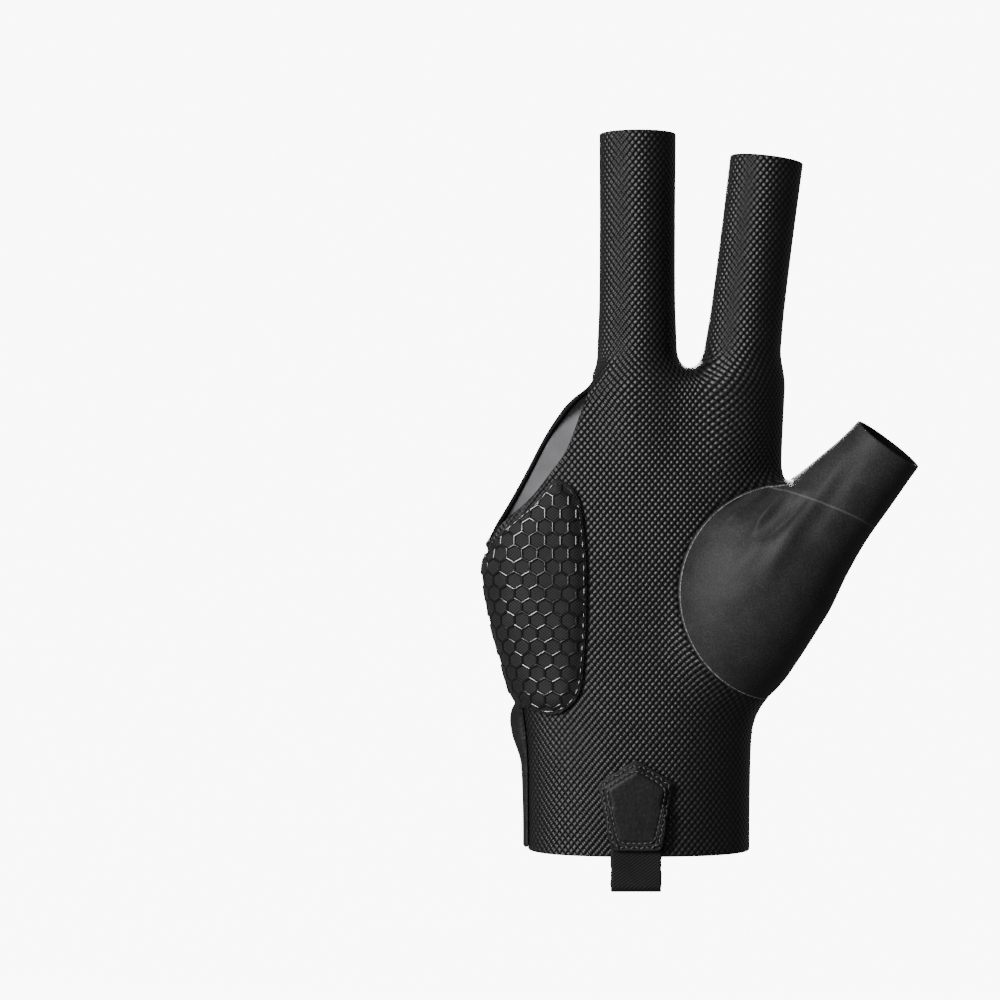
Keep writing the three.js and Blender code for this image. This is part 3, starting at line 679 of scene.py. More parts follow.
# %% Helpers for materials
def linear(hex_colour):
    value = [int(hex_colour[i : i + 2], 16) / 255 for i in (1, 3, 5)]
    return (*[v / 12.92 if v <= 0.04045 else ((v + 0.055) / 1.055) ** 2.4 for v in value], 1)


def add(tree, kind, inputs=None, **settings):
    """Adds a node, sets its properties, and gives each input a value or a link. A node given as an
    input stands for its first output."""
    node = tree.nodes.new(kind)
    for name, value in settings.items():
        setattr(node, name, value)
    for key, value in (inputs or {}).items():
        if isinstance(value, bpy.types.Node):
            value = value.outputs[0]
        if isinstance(value, bpy.types.NodeSocket):
            tree.links.new(value, node.inputs[key])
        else:
            node.inputs[key].default_value = value
    return node


def new_material(name, roughness, specular, sheen=0.0):
    material = bpy.data.materials.new(name)
    material.use_nodes = True
    shader = material.node_tree.nodes["Principled BSDF"]
    shader.inputs["Roughness"].default_value = roughness
    shader.inputs["Specular IOR Level"].default_value = specular
    shader.inputs["Sheen Weight"].default_value = sheen
    shader.inputs["Sheen Roughness"].default_value = 0.4  # fine fibres that stand up a little
    return material, material.node_tree, shader


def colour_and_bump(tree, shader, height, shade, stops, bump_mm):
    """Colours a cloth from its height, low places darker and high ones lighter, scales it by a slow
    change of brightness and raises its bump. On a grain the ramp is the grain's own tone; on the
    knitted cloths the dark holes are painted shade and the light tops of the knots a painted
    highlight.
    """
    tone = add(tree, "ShaderNodeValToRGB", {0: height})
    ramp = tone.color_ramp
    ramp.elements[0].position, ramp.elements[0].color = stops[0][0], linear(stops[0][1])
    ramp.elements[1].position, ramp.elements[1].color = stops[-1][0], linear(stops[-1][1])
    for place, colour in stops[1:-1]:
        ramp.elements.new(place).color = linear(colour)
    colour = add(tree, "ShaderNodeVectorMath", {0: tone, 3: shade}, operation="SCALE")
    tree.links.new(colour.outputs[0], shader.inputs["Base Color"])
    bump = add(tree, "ShaderNodeBump",
               {"Height": height, "Strength": 1.0, "Distance": bump_mm * MM})
    tree.links.new(bump.outputs[0], shader.inputs["Normal"])
    return colour


def shade_of(tree, place, size_mm, low, high):
    """A slow change of brightness, as cloth has from wear and stretch."""
    noise = add(tree, "ShaderNodeTexNoise", {0: place, 2: 1 / (size_mm * MM), 3: 3.0})
    return add(tree, "ShaderNodeMapRange", {0: noise, 1: 0.3, 2: 0.7, 3: low, 4: high})


# %% Thin pale print lines: arcs of large circles, drawn through the panel from its front
def print_arcs(tree, shader, colour, place, arcs, pale, strength):
    """Arcs are rows of the circle's middle x and z, its radius and the line's width, in mm."""
    flat = add(tree, "ShaderNodeVectorMath", {0: place, 1: (1, 0, 1)}, operation="MULTIPLY")
    mask = None
    for x, z, radius, width in arcs:
        away = add(tree, "ShaderNodeVectorMath", {0: flat, 1: (x * MM, 0, z * MM)},
                   operation="DISTANCE")
        away = add(tree, "ShaderNodeMath", {0: away.outputs["Value"], 1: radius * MM},
                   operation="SUBTRACT")
        away = add(tree, "ShaderNodeMath", {0: away}, operation="ABSOLUTE")
        line = add(tree, "ShaderNodeMapRange",
                   {0: away, 1: width / 2 * MM, 2: width * MM, 3: strength, 4: 0.0})
        if mask:
            line = add(tree, "ShaderNodeMath", {0: mask, 1: line}, operation="MAXIMUM")
        mask = line
    mixed = add(tree, "ShaderNodeMix", {0: mask, 6: colour, 7: linear(pale)}, data_type="RGBA")
    tree.links.new(mixed.outputs[2], shader.inputs["Base Color"])


# %% [markdown]
# ## Knitted and woven cloths
#
# The palm is a warp knit of texturised polyester: plump knots stand in a diamond lattice with
# open holes between them. Across the fabric and along it the yarn rises and falls like two
# cosines, and their product gives exactly that lattice. The same pattern, finer and shallower,
# serves the jersey of the back, whose true loops of 0.3 mm would not show, and the pad's cloth
# and the webbing.


# %% A cloth with a lattice of knots
CLOTH_SHEEN, FIBRE = 0.02, 0.12  # the share that single fibres add to the height of a knot


def knitted(name, pitch, stops, bump_mm, roughness, specular, wobble=0.1, slant=0.5, **printed):
    """Slant is the share of one of the two diagonals: 0.5 gives round knots and 1 gives a twill."""
    material, tree, shader = new_material(name, roughness, specular, CLOTH_SHEEN)
    uv = add(tree, "ShaderNodeUVMap", uv_map="weave")
    place = add(tree, "ShaderNodeTexCoord").outputs["Object"]
    noise = add(tree, "ShaderNodeTexNoise", {0: uv, 2: 0.45 / pitch[0], 3: 2.0})
    moved = add(tree, "ShaderNodeVectorMath", {0: noise.outputs[1], 3: wobble * pitch[0]},
                operation="SCALE")
    moved = add(tree, "ShaderNodeVectorMath", {0: uv, 1: moved}, operation="ADD")
    axes = add(tree, "ShaderNodeSeparateXYZ", {0: moved})
    turns = [
        add(tree, "ShaderNodeMath", {0: axes.outputs[axis], 1: 2 * math.pi / pitch[axis]},
            operation="MULTIPLY")
        for axis in (0, 1)
    ]
    knots = 0.0
    for share, way in ((slant, "ADD"), (1 - slant, "SUBTRACT")):
        diagonal = add(tree, "ShaderNodeMath", {0: turns[0], 1: turns[1]}, operation=way)
        wave = add(tree, "ShaderNodeMath", {0: diagonal}, operation="COSINE")
        knots = add(tree, "ShaderNodeMath", {0: wave, 1: share, 2: knots}, operation="MULTIPLY_ADD")
    fibres = add(tree, "ShaderNodeTexNoise", {0: uv, 2: 2.4 / pitch[0], 3: 3.0})
    height = add(tree, "ShaderNodeMath", {0: fibres, 1: FIBRE * 4, 2: knots},
                 operation="MULTIPLY_ADD")
    height = add(tree, "ShaderNodeMapRange", {0: height, 1: -1 + 2 * FIBRE, 2: 1 + 2 * FIBRE})
    shade = shade_of(tree, place, 9, 0.82, 1.18)
    colour = colour_and_bump(tree, shader, height, shade, stops, bump_mm)
    if printed:
        print_arcs(tree, shader, colour, place, **printed)
    return material


# %% A cloth or leather with an irregular grain
def grained(name, grain_mm, stops, bump_mm, roughness, specular, sheen=0.0, pores=0.0, **printed):
    material, tree, shader = new_material(name, roughness, specular, sheen)
    place = add(tree, "ShaderNodeTexCoord").outputs["Object"]
    noise = add(tree, "ShaderNodeTexNoise", {0: place, 2: 1 / (grain_mm * MM), 3: 4.0})
    cells = add(tree, "ShaderNodeTexVoronoi", {0: place, 2: 1 / (grain_mm * MM)})
    height = add(tree, "ShaderNodeMath", {0: cells, 1: -pores, 2: noise},
                 operation="MULTIPLY_ADD")
    height = add(tree, "ShaderNodeMapRange", {0: height, 1: 0.25 - pores, 2: 0.75})
    shade = shade_of(tree, place, 7, 0.8, 1.2)
    colour = colour_and_bump(tree, shader, height, shade, stops, bump_mm)
    if printed:
        print_arcs(tree, shader, colour, place, **printed)
    return material


# %% The knitted finishes
# texturised polyester: plump dull knots; the near-black holes are painted shade and the lighter
# # knot tops a painted highlight
KNIT = knitted(
    "diamond_knit_polyester", (1.85, 2.2),
    [(0.18, "#010101"), (0.4, "#090909"), (0.58, "#151515"), (1.0, "#202020")], 0.34, 0.4, 0.25,
    wobble=0.25, slant=0.48,
)
# elastane jersey, drawn tight and so almost smooth, with a few faint print lines
JERSEY = knitted(
    "stretch_jersey", (0.62, 0.5),
    [(0.0, "#100f10"), (0.6, "#191718"), (1.0, "#252324")], 0.05, 0.5, 0.14, pale="#6a686a",
    strength=0.14, arcs=[(-160, 30, 150, 0.35), (150, 60, 140, 0.35), (60, -150, 235, 0.3)],
)
CUFF_JERSEY = knitted(
    "stretch_jersey_cuff", (0.62, 0.5),
    [(0.0, "#100f10"), (0.6, "#191718"), (1.0, "#262425")], 0.06, 0.5, 0.14,
)
# the jersey's inside: undyed satin side, pale and smoother than the outside
LINING = knitted(
    "satin_jersey_inside", (0.8, 0.6),
    [(0.0, "#6a6a6c"), (0.6, "#7a7a7c"), (1.0, "#8a8a8c")], 0.04, 0.36, 0.4,
)
# the pad's jersey is coarser, and the print shrinks it a little
PAD_CLOTH = knitted(
    "pad_jersey", (1.05, 0.9),
    [(0.0, "#0c0c0d"), (0.5, "#19191a"), (1.0, "#2a2a2b")], 0.12, 0.55, 0.12, wobble=0.25,
)
# flat woven tape: even rows, dull and firm
WEBBING = knitted(
    "woven_polyester_webbing", (1.3, 0.9),
    [(0.0, "#0a0a0a"), (0.5, "#141414"), (1.0, "#202020")], 0.12, 0.6, 0.15,
)
print("knitted and woven:", len(bpy.data.materials))

# %% The finishes with a grain
# brushed microfibre with a short nap: the palest of the black cloths, partly its own tone and
# # partly painted sheen of the nap
MICROFIBRE = grained(
    "brushed_microfibre", 0.5,
    [(0.0, "#181819"), (0.5, "#252526"), (1.0, "#343435")], 0.05, 0.55, 0.12, CLOTH_SHEEN, 0.3,
    pale="#606060", strength=0.3, arcs=[(-10, -55, 168, 0.35)],
)
# polyurethane on a cloth: a matte pebbled skin with small pores
LEATHERETTE = grained(
    "matte_polyurethane_leatherette", 0.8,
    [(0.0, "#0e0e0e"), (0.5, "#161616"), (1.0, "#222222")], 0.1, 0.5, 0.2, CLOTH_SHEEN, 0.5,
)
# tape folded over an edge, also used as painted shade in the tab's groove and round the strap's
# # edge; hooks that swallow light, waxed thread and a pale heat-cut edge
BLACK_TAPE_AND_SHADE, HOOK, THREAD, PALE_EDGE = (
    grained(*finish)
    for finish in (
        ("black_tape_and_painted_shade", 0.5, [(0.0, "#030303"), (1.0, "#0b0b0b")], 0.05, 0.6, 0.1),
        ("nylon_hook_tape", 0.5, [(0.0, "#040404"), (1.0, "#121212")], 0.3, 0.8, 0.1),
        ("bonded_polyester_thread", 0.25, [(0.0, "#202020"), (1.0, "#3c3c3c")], 0.05, 0.42, 0.35),
        ("heat_cut_fabric_edge", 0.6, [(0.2, "#2a2a2a"), (0.8, "#8c8c8c")], 0.1, 0.5, 0.3),
    )
)

# %% Clear silicone, screen-printed: it looks dark on dark cloth and shines along its crests
SILICONE, tree, shader = new_material("screen_printed_silicone", 0.17, 0.6)
place = add(tree, "ShaderNodeTexCoord").outputs["Object"]
cloud = add(tree, "ShaderNodeTexNoise", {0: place, 2: 1 / (6 * MM), 3: 2.0})
colour_and_bump(tree, shader, cloud, shade_of(tree, place, 14, 0.7, 1.3),
                [(0.3, "#070708"), (0.7, "#101011")], 0.05)
print("finishes:", len(bpy.data.materials))

# %% [markdown]
# ## Coordinates for the weave
#
# A knit runs round the hand, so its pattern can't be projected from the front: it would smear at
# the sides. Each limb gets its own arc length round the section, measured from the middle of its
# palm side, and the coordinates of the limbs are blended where they meet.


# %% Arc length round a limb
ARC_ROW = 2.0  # the step along a limb from one row of arc lengths to the next


def rim_of(limb, at, angle):
    """Where the rim of a limb's section lies, at angles from the middle of the palm's side."""
    power = 2 / limb["squareness"]
    sine, cosine = np.sin(angle), np.cos(angle)
    x = np.sign(sine) * np.abs(sine) ** power * at["half_side"]
    return x, -np.sign(cosine) * np.abs(cosine) ** power * at["half_depth"]


def arc_table(limb, steps=240):
    """Arc lengths round a limb, one row for every ARC_ROW along it."""
    along = np.arange(limb["along"][0], limb["along"][-1], ARC_ROW)
    angle = np.linspace(-math.pi, math.pi, 2 * steps + 1)
    x, y = rim_of(limb, sizes_at(limb, along[:, None]), angle)
    arc = np.cumsum(np.hypot(np.diff(x), np.diff(y)), axis=1)
    arc = np.concatenate([np.zeros((len(along), 1)), arc], axis=1)
    return along, angle, arc - arc[:, steps : steps + 1]


def arc_round(limb, table, points, facing=-1):
    """Facing is -1 to start from the middle of the palm's side and 1 from that of the back."""
    along, side, depth, at = section(limb, points)
    depth = -facing * depth
    n = limb["squareness"] / 2
    angle = np.arctan2(np.sign(side) * np.abs(side) ** n, -np.sign(depth) * np.abs(depth) ** n)
    keys, angles, arc = table
    i = np.clip((along - keys[0]) / ARC_ROW, 0, len(keys) - 1.001)
    j = np.clip((angle - angles[0]) / (angles[1] - angles[0]), 0, len(angles) - 1.001)
    i0, j0 = i.astype(int), j.astype(int)
    fi, fj = i - i0, j - j0
    value = mix(
        mix(arc[i0, j0], arc[i0 + 1, j0], fi), mix(arc[i0, j0 + 1], arc[i0 + 1, j0 + 1], fi), fj
    )
    turn = 2 * mix(arc[i0, -1], arc[i0 + 1, -1], fi)
    return value + at["shift"] + limb["origin"][0], along + limb["origin"][2], turn


BODY_ARC, MIDDLE_ARC, INDEX_ARC, THUMB_ARC = map(arc_table, (BODY, MIDDLE, INDEX, THUMB))
FORK_LOW, FORK_HIGH = 126, 150  # the heights between which the body gives way to the fingers


def weave_uv(points, facing=-1):
    body, z, body_turn = arc_round(BODY, BODY_ARC, points, facing)
    middle, _, turn = arc_round(MIDDLE, MIDDLE_ARC, points, facing)
    index, _, _ = arc_round(INDEX, INDEX_ARC, points, facing)
    nearer = limb_distance(MIDDLE, points) - limb_distance(INDEX, points)
    finger = mix(middle, index, 1 / (1 + np.exp(-nearer / 2)))
    up = smooth_step(np.clip((points[:, 2] - FORK_LOW) / (FORK_HIGH - FORK_LOW), 0, 1))
    return np.stack([mix(body, finger, up), z, mix(body_turn, turn, up)], 1)


def back_uv(points):
    return weave_uv(points, 1)


def thumb_uv(points):
    return np.stack(arc_round(THUMB, THUMB_ARC, points), 1)


def on_body(arc_length, z):
    """The place on the hand at an arc length round the palm, from its middle, and a height."""
    keys, angles, arc = BODY_ARC
    at = sizes_at(BODY, z)
    angle = np.empty(len(z))
    for n, (length, up) in enumerate(zip(arc_length - at["shift"], z)):
        row = (up - keys[0]) / ARC_ROW
        i = int(row)
        angle[n] = np.interp(length, mix(arc[i], arc[i + 1], row - i), angles)
    x, y = rim_of(BODY, at, angle)
    return onto_hand(np.stack([x + at["shift"], y + at["back"], z], 1))


wrist = np.linspace(-20, 20, 3)
print("on the wrist's palm side:", on_body(wrist, 0 * wrist).round(1).tolist())


# %% [markdown]
# ## Stitches and printed ribs
#
# A stitch row is one short thread repeated along a path, so Geometry Nodes make it: the path
# becomes a curve, the curve is cut into equal steps, and each step carries one small arched
# thread that looks along the path and stands off the cloth. The ribs of the silicone print use a
# second tree, which sweeps a round profile along every line of a lattice.


# %% Build a Geometry Nodes tree
def new_tree(name, inputs):
    tree = bpy.data.node_groups.new(name, "GeometryNodeTree")
    face = tree.interface
    face.new_socket("Geometry", in_out="INPUT", socket_type="NodeSocketGeometry")
    face.new_socket("Geometry", in_out="OUTPUT", socket_type="NodeSocketGeometry")
    for label, kind in inputs:
        face.new_socket(label, in_out="INPUT", socket_type="NodeSocket" + kind)
    start = tree.nodes.new("NodeGroupInput")
    return tree, {socket.name: socket for socket in start.outputs if socket.name}


def finish_tree(tree, geometry, finish):
    real = add(tree, "GeometryNodeRealizeInstances", {0: geometry})
    smooth = add(tree, "GeometryNodeSetShadeSmooth", {0: real})
    dressed = add(tree, "GeometryNodeSetMaterial", {"Geometry": smooth, "Material": finish})
    add(tree, "NodeGroupOutput", {0: dressed})
    return tree


# %% One stitch after another along a path
def stitch_tree():
    names = [(label, "Float") for label in ("Spacing", "Length", "Thread", "Arch", "Slant")]
    tree, given = new_tree("stitch_row", names + [("Finish", "Material")])
    path = add(tree, "GeometryNodeMeshToCurve", {0: given["Geometry"]})
    path = add(tree, "GeometryNodeResampleCurve", {"Curve": path, "Length": given["Spacing"]},
               mode="LENGTH")
    half, back, radius, sink = (
        add(tree, "ShaderNodeMath", {0: given[size], 1: share}, operation="MULTIPLY")
        for size in ("Length", "Thread")
        for share in (0.5, -0.5)
    )
    start = add(tree, "ShaderNodeCombineXYZ", {0: back, 2: sink})
    end = add(tree, "ShaderNodeCombineXYZ", {0: half, 2: sink})
    top = add(tree, "ShaderNodeCombineXYZ", {2: given["Arch"]})
    thread = add(tree, "GeometryNodeCurveQuadraticBezier",
                 {"Resolution": 4, "Start": start, "Middle": top, "End": end})
    ring = add(tree, "GeometryNodeCurvePrimitiveCircle", {"Resolution": 6, "Radius": radius})
    stitch = add(tree, "GeometryNodeCurveToMesh",
                 {"Curve": thread, "Profile Curve": ring, "Fill Caps": True})
    up = add(tree, "GeometryNodeInputNamedAttribute", {"Name": "up"}, data_type="FLOAT_VECTOR")
    tangent = add(tree, "GeometryNodeInputTangent")
    facing = add(tree, "FunctionNodeAxesToRotation",
                 {"Primary Axis": tangent, "Secondary Axis": up},
                 primary_axis="X", secondary_axis="Z")
    index = add(tree, "GeometryNodeInputIndex")
    odd = add(tree, "ShaderNodeMath", {0: index, 1: 2.0}, operation="MODULO")
    way = add(tree, "ShaderNodeMath", {0: odd, 1: 2.0, 2: -1.0}, operation="MULTIPLY_ADD")
    angle = add(tree, "ShaderNodeMath", {0: way, 1: given["Slant"]}, operation="MULTIPLY")
    turn = add(tree, "FunctionNodeAxisAngleToRotation", {"Axis": (0.0, 0.0, 1.0), "Angle": angle})
    facing = add(tree, "FunctionNodeRotateRotation", {"Rotation": facing, "Rotate By": turn},
                 rotation_space="LOCAL")
    row = add(tree, "GeometryNodeInstanceOnPoints",
              {"Points": path, "Instance": stitch, "Rotation": facing})
    return finish_tree(tree, row, given["Finish"])


# %% A round rib along every line
def rib_tree():
    names = [("Radius", "Float"), ("Sides", "Int"), ("Finish", "Material")]
    tree, given = new_tree("printed_ribs", names)
    path = add(tree, "GeometryNodeMeshToCurve", {0: given["Geometry"]})
    ring = add(tree, "GeometryNodeCurvePrimitiveCircle",
               {"Resolution": given["Sides"], "Radius": given["Radius"]})
    rib = add(tree, "GeometryNodeCurveToMesh",
              {"Curve": path, "Profile Curve": ring, "Fill Caps": True})
    return finish_tree(tree, rib, given["Finish"])


STITCH_TREE, RIB_TREE = stitch_tree(), rib_tree()


def run_tree(name, tree, points_mm, edges, normals, slot, **inputs):
    """Runs a tree once on a wire of points and edges and keeps what it makes as a plain mesh."""
    wire = bpy.data.meshes.new(name + "_wire")
    wire.from_pydata(points_mm * MM, edges, [])
    up = wire.attributes.new("up", "FLOAT_VECTOR", "POINT")
    up.data.foreach_set("vector", normals.reshape(-1))
    piece = place_object(name, wire)
    modifier = piece.modifiers.new("nodes", "NODES")
    modifier.node_group = tree
    for item in tree.interface.items_tree:
        if item.in_out == "INPUT" and item.name in inputs:
            modifier[item.identifier] = inputs[item.name]
    graph = bpy.context.evaluated_depsgraph_get()
    made = bpy.data.meshes.new_from_object(piece.evaluated_get(graph), depsgraph=graph)
    piece.modifiers.clear()
    piece.data = made
    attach(piece, "root")
    made.calc_loop_triangles()
    print(f"{name}: {len(made.loop_triangles)} triangles")
    return piece


# %% Find the paths that stitches follow
def run_length(path):
    """How far along a path each of its points lies."""
    return np.concatenate([[0], np.cumsum(np.linalg.norm(np.diff(path, axis=0), axis=1))])


def level_line(sheet, value_at, level=0.0, spacing=0.8, shortest=6.0):
    """The paths on a sheet along which a value keeps one level."""
    points, _, faces = sheet
    value = value_at(points) - level
    value = np.where(np.abs(value) < 1e-6, 1e-6, value)
    ends = []
    for leaving in (True, False):
        found = np.zeros((len(faces), 2), int) - 1
        for k in range(3):
            a, b = faces[:, k], faces[:, (k + 1) % 3]
            here = (value[a] > 0) & (value[b] < 0) if leaving else (value[a] < 0) & (value[b] > 0)
            found[here] = np.sort(np.stack([a, b], 1), 1)[here]
        ends.append(found)
    crossed = (ends[0] >= 0).all(1) & (ends[1] >= 0).all(1)
    start, stop = (list(map(tuple, found[crossed].tolist())) for found in ends)
    follow = dict(zip(start, stop))
    first = sorted(set(start) - set(stop)) + sorted(follow)
    paths = []
    for here in first:
        if here not in follow:
            continue
        path = [here]
        while here in follow:
            here = follow.pop(here)
            path.append(here)
        a, b = np.array(path).T
        line = mix(points[a], points[b], (value[a] / (value[a] - value[b]))[:, None])
        length = run_length(line)
        if length[-1] < shortest:
            continue
        at = np.linspace(0, length[-1], int(length[-1] / spacing) + 2)
        line = np.stack([np.interp(at, length, line[:, k]) for k in range(3)], 1)
        for _ in range(6):
            line[1:-1] = (line[:-2] + 2 * line[1:-1] + line[2:]) / 4
        paths.append(onto_hand(line))
    return paths


def wire_of(paths, lift):
    """Joins paths into one wire, lifted off the hand, with the hand's normals."""
    points, edges, normals, start = [], [], [], 0
    for path in paths:
        normal = hand_normals(path)
        height = lift(path) if callable(lift) else lift
        points.append(path + normal * np.broadcast_to(height, len(path))[:, None])
        normals.append(normal)
        edges += [(start + i, start + i + 1) for i in range(len(path) - 1)]
        start += len(path)
    return np.concatenate(points), edges, np.concatenate(normals)


# %% Sew along paths, lay a cord along them, and make a sheet finer
def stitch(name, paths, lift, slot, spacing, length, thread=0.34, arch=0.42, slant=0.0):
    """Sizes in millimetres, and slant in degrees, to one side and the other by turns."""
    points, edges, normals = wire_of(paths, lift)
    run_tree(
        name, STITCH_TREE, points, edges, normals, slot, Spacing=spacing * MM, Length=length * MM,
        Thread=thread * MM, Arch=arch * MM, Slant=math.radians(slant), Finish=THREAD,
    )


def cord_edge(name, paths, lift, radius, slot, finish):
    """Lays a thin round cord along paths, for an edge that is rolled, printed or cut."""
    points, edges, normals = wire_of(paths, lift)
    run_tree(name, RIB_TREE, points, edges, normals, slot, Radius=radius * MM, Sides=8,
             Finish=finish)


def refine(sheet, turns=1):
    """Splits every triangle in four and puts the new points on the hand."""
    for _ in range(turns):
        points, normals, faces = sheet
        sides = np.sort(sides_of(faces), 1)
        unique, index = np.unique(sides, axis=0, return_inverse=True)
        ab, bc, ca = index.reshape(3, -1) + len(points)
        a, b, c = faces.T
        middle = (points[unique[:, 0]] + points[unique[:, 1]]) / 2
        keys = [s[:, 0] * (len(points) + 1) + s[:, 1]
                for s in (unique, np.sort(outline_of(sheet), 1))]
        middle = np.where(np.isin(*keys)[:, None], middle, onto_hand(middle, 1))
        points = np.concatenate([points, middle])
        faces = np.concatenate(
            [np.stack(f, 1) for f in ((a, ab, ca), (ab, b, bc), (ca, bc, c), (ab, bc, ca))]
        )
        sheet = (points, hand_normals(points), faces)
    return sheet


# %% [markdown]
# ## The panels
#
# The cloth panels meet at seams. Near a seam both panels dip, as sewn cloth does, and the rim
# turns in. A dip could be sculpted by hand. Here it is a bell curve over the distance from the
# seam, because that distance is known at every point of the sheet.

# %% Seam dips
SEAM_GAP = 0.08


def dip(distance, depth=0.5, width=0.8):
    return -depth * bell(distance / width)


def seam_dip(p):
    return dip(on_back(p)) + dip(on_thumb(p), 0.35)


# %% [markdown]
# The palm is one piece of open knit: the palm itself, the fronts of both fingers and the thumb's
# side of the hand, round to the seam on the back. It could be lofted in strips, but one cut from
# the whole sheet keeps it without a join, as the cloth is.

# %% The palm
palm_sheet = cut_all(
    glove,
    lambda p: -on_back(p) - SEAM_GAP,
    lambda p: -on_thumb(p) - SEAM_GAP,
    lambda p: beside(PALM_EDGE, p),
)
make_shell("palm_panel_knit", palm_sheet, -CLOTH_WALL, seam_dip(palm_sheet[0]), "palm_panel",
           KNIT, uv=weave_uv)

# %% [markdown]
# Smooth stretch jersey covers the back of the hand and of both fingers, and a second piece of it
# the back of the wrist. The photograph shows its pale inside through the opening. A second sheet
# for that would double the cloth, so the shell's own inner face gets the lining's colour.

# %% The back of the hand and the cuff, with their pale grey inside
BINDING_START, BINDING_WIDTH = 0.9, 0.65  # the cloth goes past the drawn edge, then comes the tape
TAPE_TOP, TAPE_FADE = 1.5, 9  # the tape narrows to nothing where the opening meets the finger


def tape_fade(p):
    return np.clip((HAND_LENGTH - TAPE_TOP - p[:, 2]) / TAPE_FADE, 0, 1)


def beyond_edge(p):
    return beside(BACK_EDGE, p) + BINDING_START * tape_fade(p)


def above_cuff(p):
    return p[:, 2] - CUFF_HEIGHT


for name, node, finish, values in (
    ("back_panel_jersey", "back_panel", JERSEY,
     [beyond_edge, lambda p: above_cuff(p) - SEAM_GAP]),
    ("cuff_panel_jersey", "cuff_panel", CUFF_JERSEY, [lambda p: -above_cuff(p) - SEAM_GAP]),
):
    sheet = cut_all(glove, lambda p: on_back(p) - SEAM_GAP, lambda p: -on_thumb(p) - SEAM_GAP,
                    *values)
    height = seam_dip(sheet[0]) + dip(above_cuff(sheet[0]), 0.4)
    panel, parts = make_shell(name, sheet, -CLOTH_WALL, height, node, finish, uv=back_uv)
    inner_face = np.zeros(sum(parts), int)
    inner_face[parts[0] : parts[0] + parts[1]] = 1
    panel.data.materials.append(LINING)
    panel.data.polygons.foreach_set("material_index", inner_face)

# %% [markdown]
# ## The thumb
#
# The thumb's tube and the round patch on the ball of the thumb are one piece of microfibre. The
# glove pulls from the fork of the thumb when the hand spreads, so a fan of folds runs from there
# over the patch. They are too sharp for the coarse net, so this panel is made finer first and
# then folded.

# %% Fold and make the thumb's piece
# columns: x, z, turn from upright, long, wide, high
CREASES = [
    (38.8, 99.4, 43, 8.0, 0.8, 2.6),
    (41.2, 96.8, 43, 8.0, 1.5, -1.5),
    (36.2, 101.8, 46, 7.0, 1.5, -0.8),
    (31.2, 100.3, 54, 6.5, 0.9, 0.9),
    (29.3, 102.6, 60, 5.0, 1.0, -0.6),
    (26.2, 101.6, 62, 5.5, 0.8, 0.8),
    (51.5, 104.5, 32, 14.0, 1.7, 0.45),
    (54.5, 102.5, 32, 14.0, 2.4, -0.4),
    (36.0, 84.0, 35, 14.0, 4.5, 0.6),
]
CREASE_FADE, PATCH_RISE = 1.5, 0.3


def crease_height(p):
    """The folds lie on the palm's side and end a little before the seam."""
    return ridges(p, CREASES, 4) * (p[:, 1] < 0) * np.clip(on_thumb(p) / CREASE_FADE, 0, 1)


thumb_sheet = refine(cut_all(glove, lambda p: on_thumb(p) - SEAM_GAP))
thumb_p = thumb_sheet[0]
patch_edge = PATCH_RISE * bell(on_thumb(thumb_p) / 3) * (thumb_p[:, 1] < 0)
make_shell(
    "thumb_piece_microfibre", thumb_sheet, -CLOTH_WALL, patch_edge + crease_height(thumb_p),
    "thumb_piece", MICROFIBRE, uv=thumb_uv,
)

# %% [markdown]
# The round patch is cut with heat and sewn on top of the knit, so its edge shows as a thin pale
# line with every fold in it. It could be a stripe in the material, but a thin cord on the edge
# keeps its width where the cloth turns. It stops where the patch ends and the tube's own seam
# begins.

# %% The pale edge of the patch
palm_half = cut_all(glove, lambda p: -behind_side_seam(p), lambda p: -beside(THUMB_EDGE, p) - 0.6)
cord_edge("patch_cut_edge", level_line(palm_half, on_thumb, 0.35),
          lambda p: 0.26 + crease_height(p), 0.15, "microfibre", PALE_EDGE)

# %% [markdown]
# The free edge of the back panel is bound with a narrow black tape, so that it doesn't fray. The
# tape is one more strip of the same sheet, cut beside the panel and a little fatter than the
# cloth.

# %% The binding on the free edge of the back panel
binding_sheet = refine(cut_all(
    glove,
    lambda p: behind_side_seam(p) - SEAM_GAP,
    lambda p: -beyond_edge(p) - SEAM_GAP,
    lambda p: beyond_edge(p) + BINDING_WIDTH * tape_fade(p),
    lambda p: HAND_LENGTH - 1 - TAPE_TOP - p[:, 2],
))
binding_rise = 0.3 * tape_fade(binding_sheet[0])
make_shell(
    "opening_binding_tape", binding_sheet, -CLOTH_WALL - binding_rise, binding_rise,
    "opening_binding", BLACK_TAPE_AND_SHADE, 0.6,
)


# %% [markdown]
# ## The grip pad
#
# The pad is a cushion under printed cloth: full in the middle, pinched at its stitched rim. On it
# lies a honeycomb of glossy silicone, printed as raised lines 0.9 mm wide with 4.4 mm from cell
# to cell. A print could be a bump in the cloth's material, but these lines stand high enough to
# catch the light from the side and to break the pad's outline, so they are real ribs.


# %% The pad's cushion
def round_corners(corners, steps=10):
    """A closed outline from rows of x, z and corner radius."""
    corners = np.array(corners, float)
    out = []
    for i in range(len(corners)):
        here = corners[i, :2]
        before, after = corners[i - 1, :2] - here, corners[(i + 1) % len(corners), :2] - here
        before /= np.linalg.norm(before)
        after /= np.linalg.norm(after)
        a, b = here + before * corners[i, 2], here + after * corners[i, 2]
        t = np.linspace(0, 1, steps)[:, None]
        out.append((1 - t) ** 2 * a + 2 * t * (1 - t) * here + t**2 * b)
    return np.vstack(out)


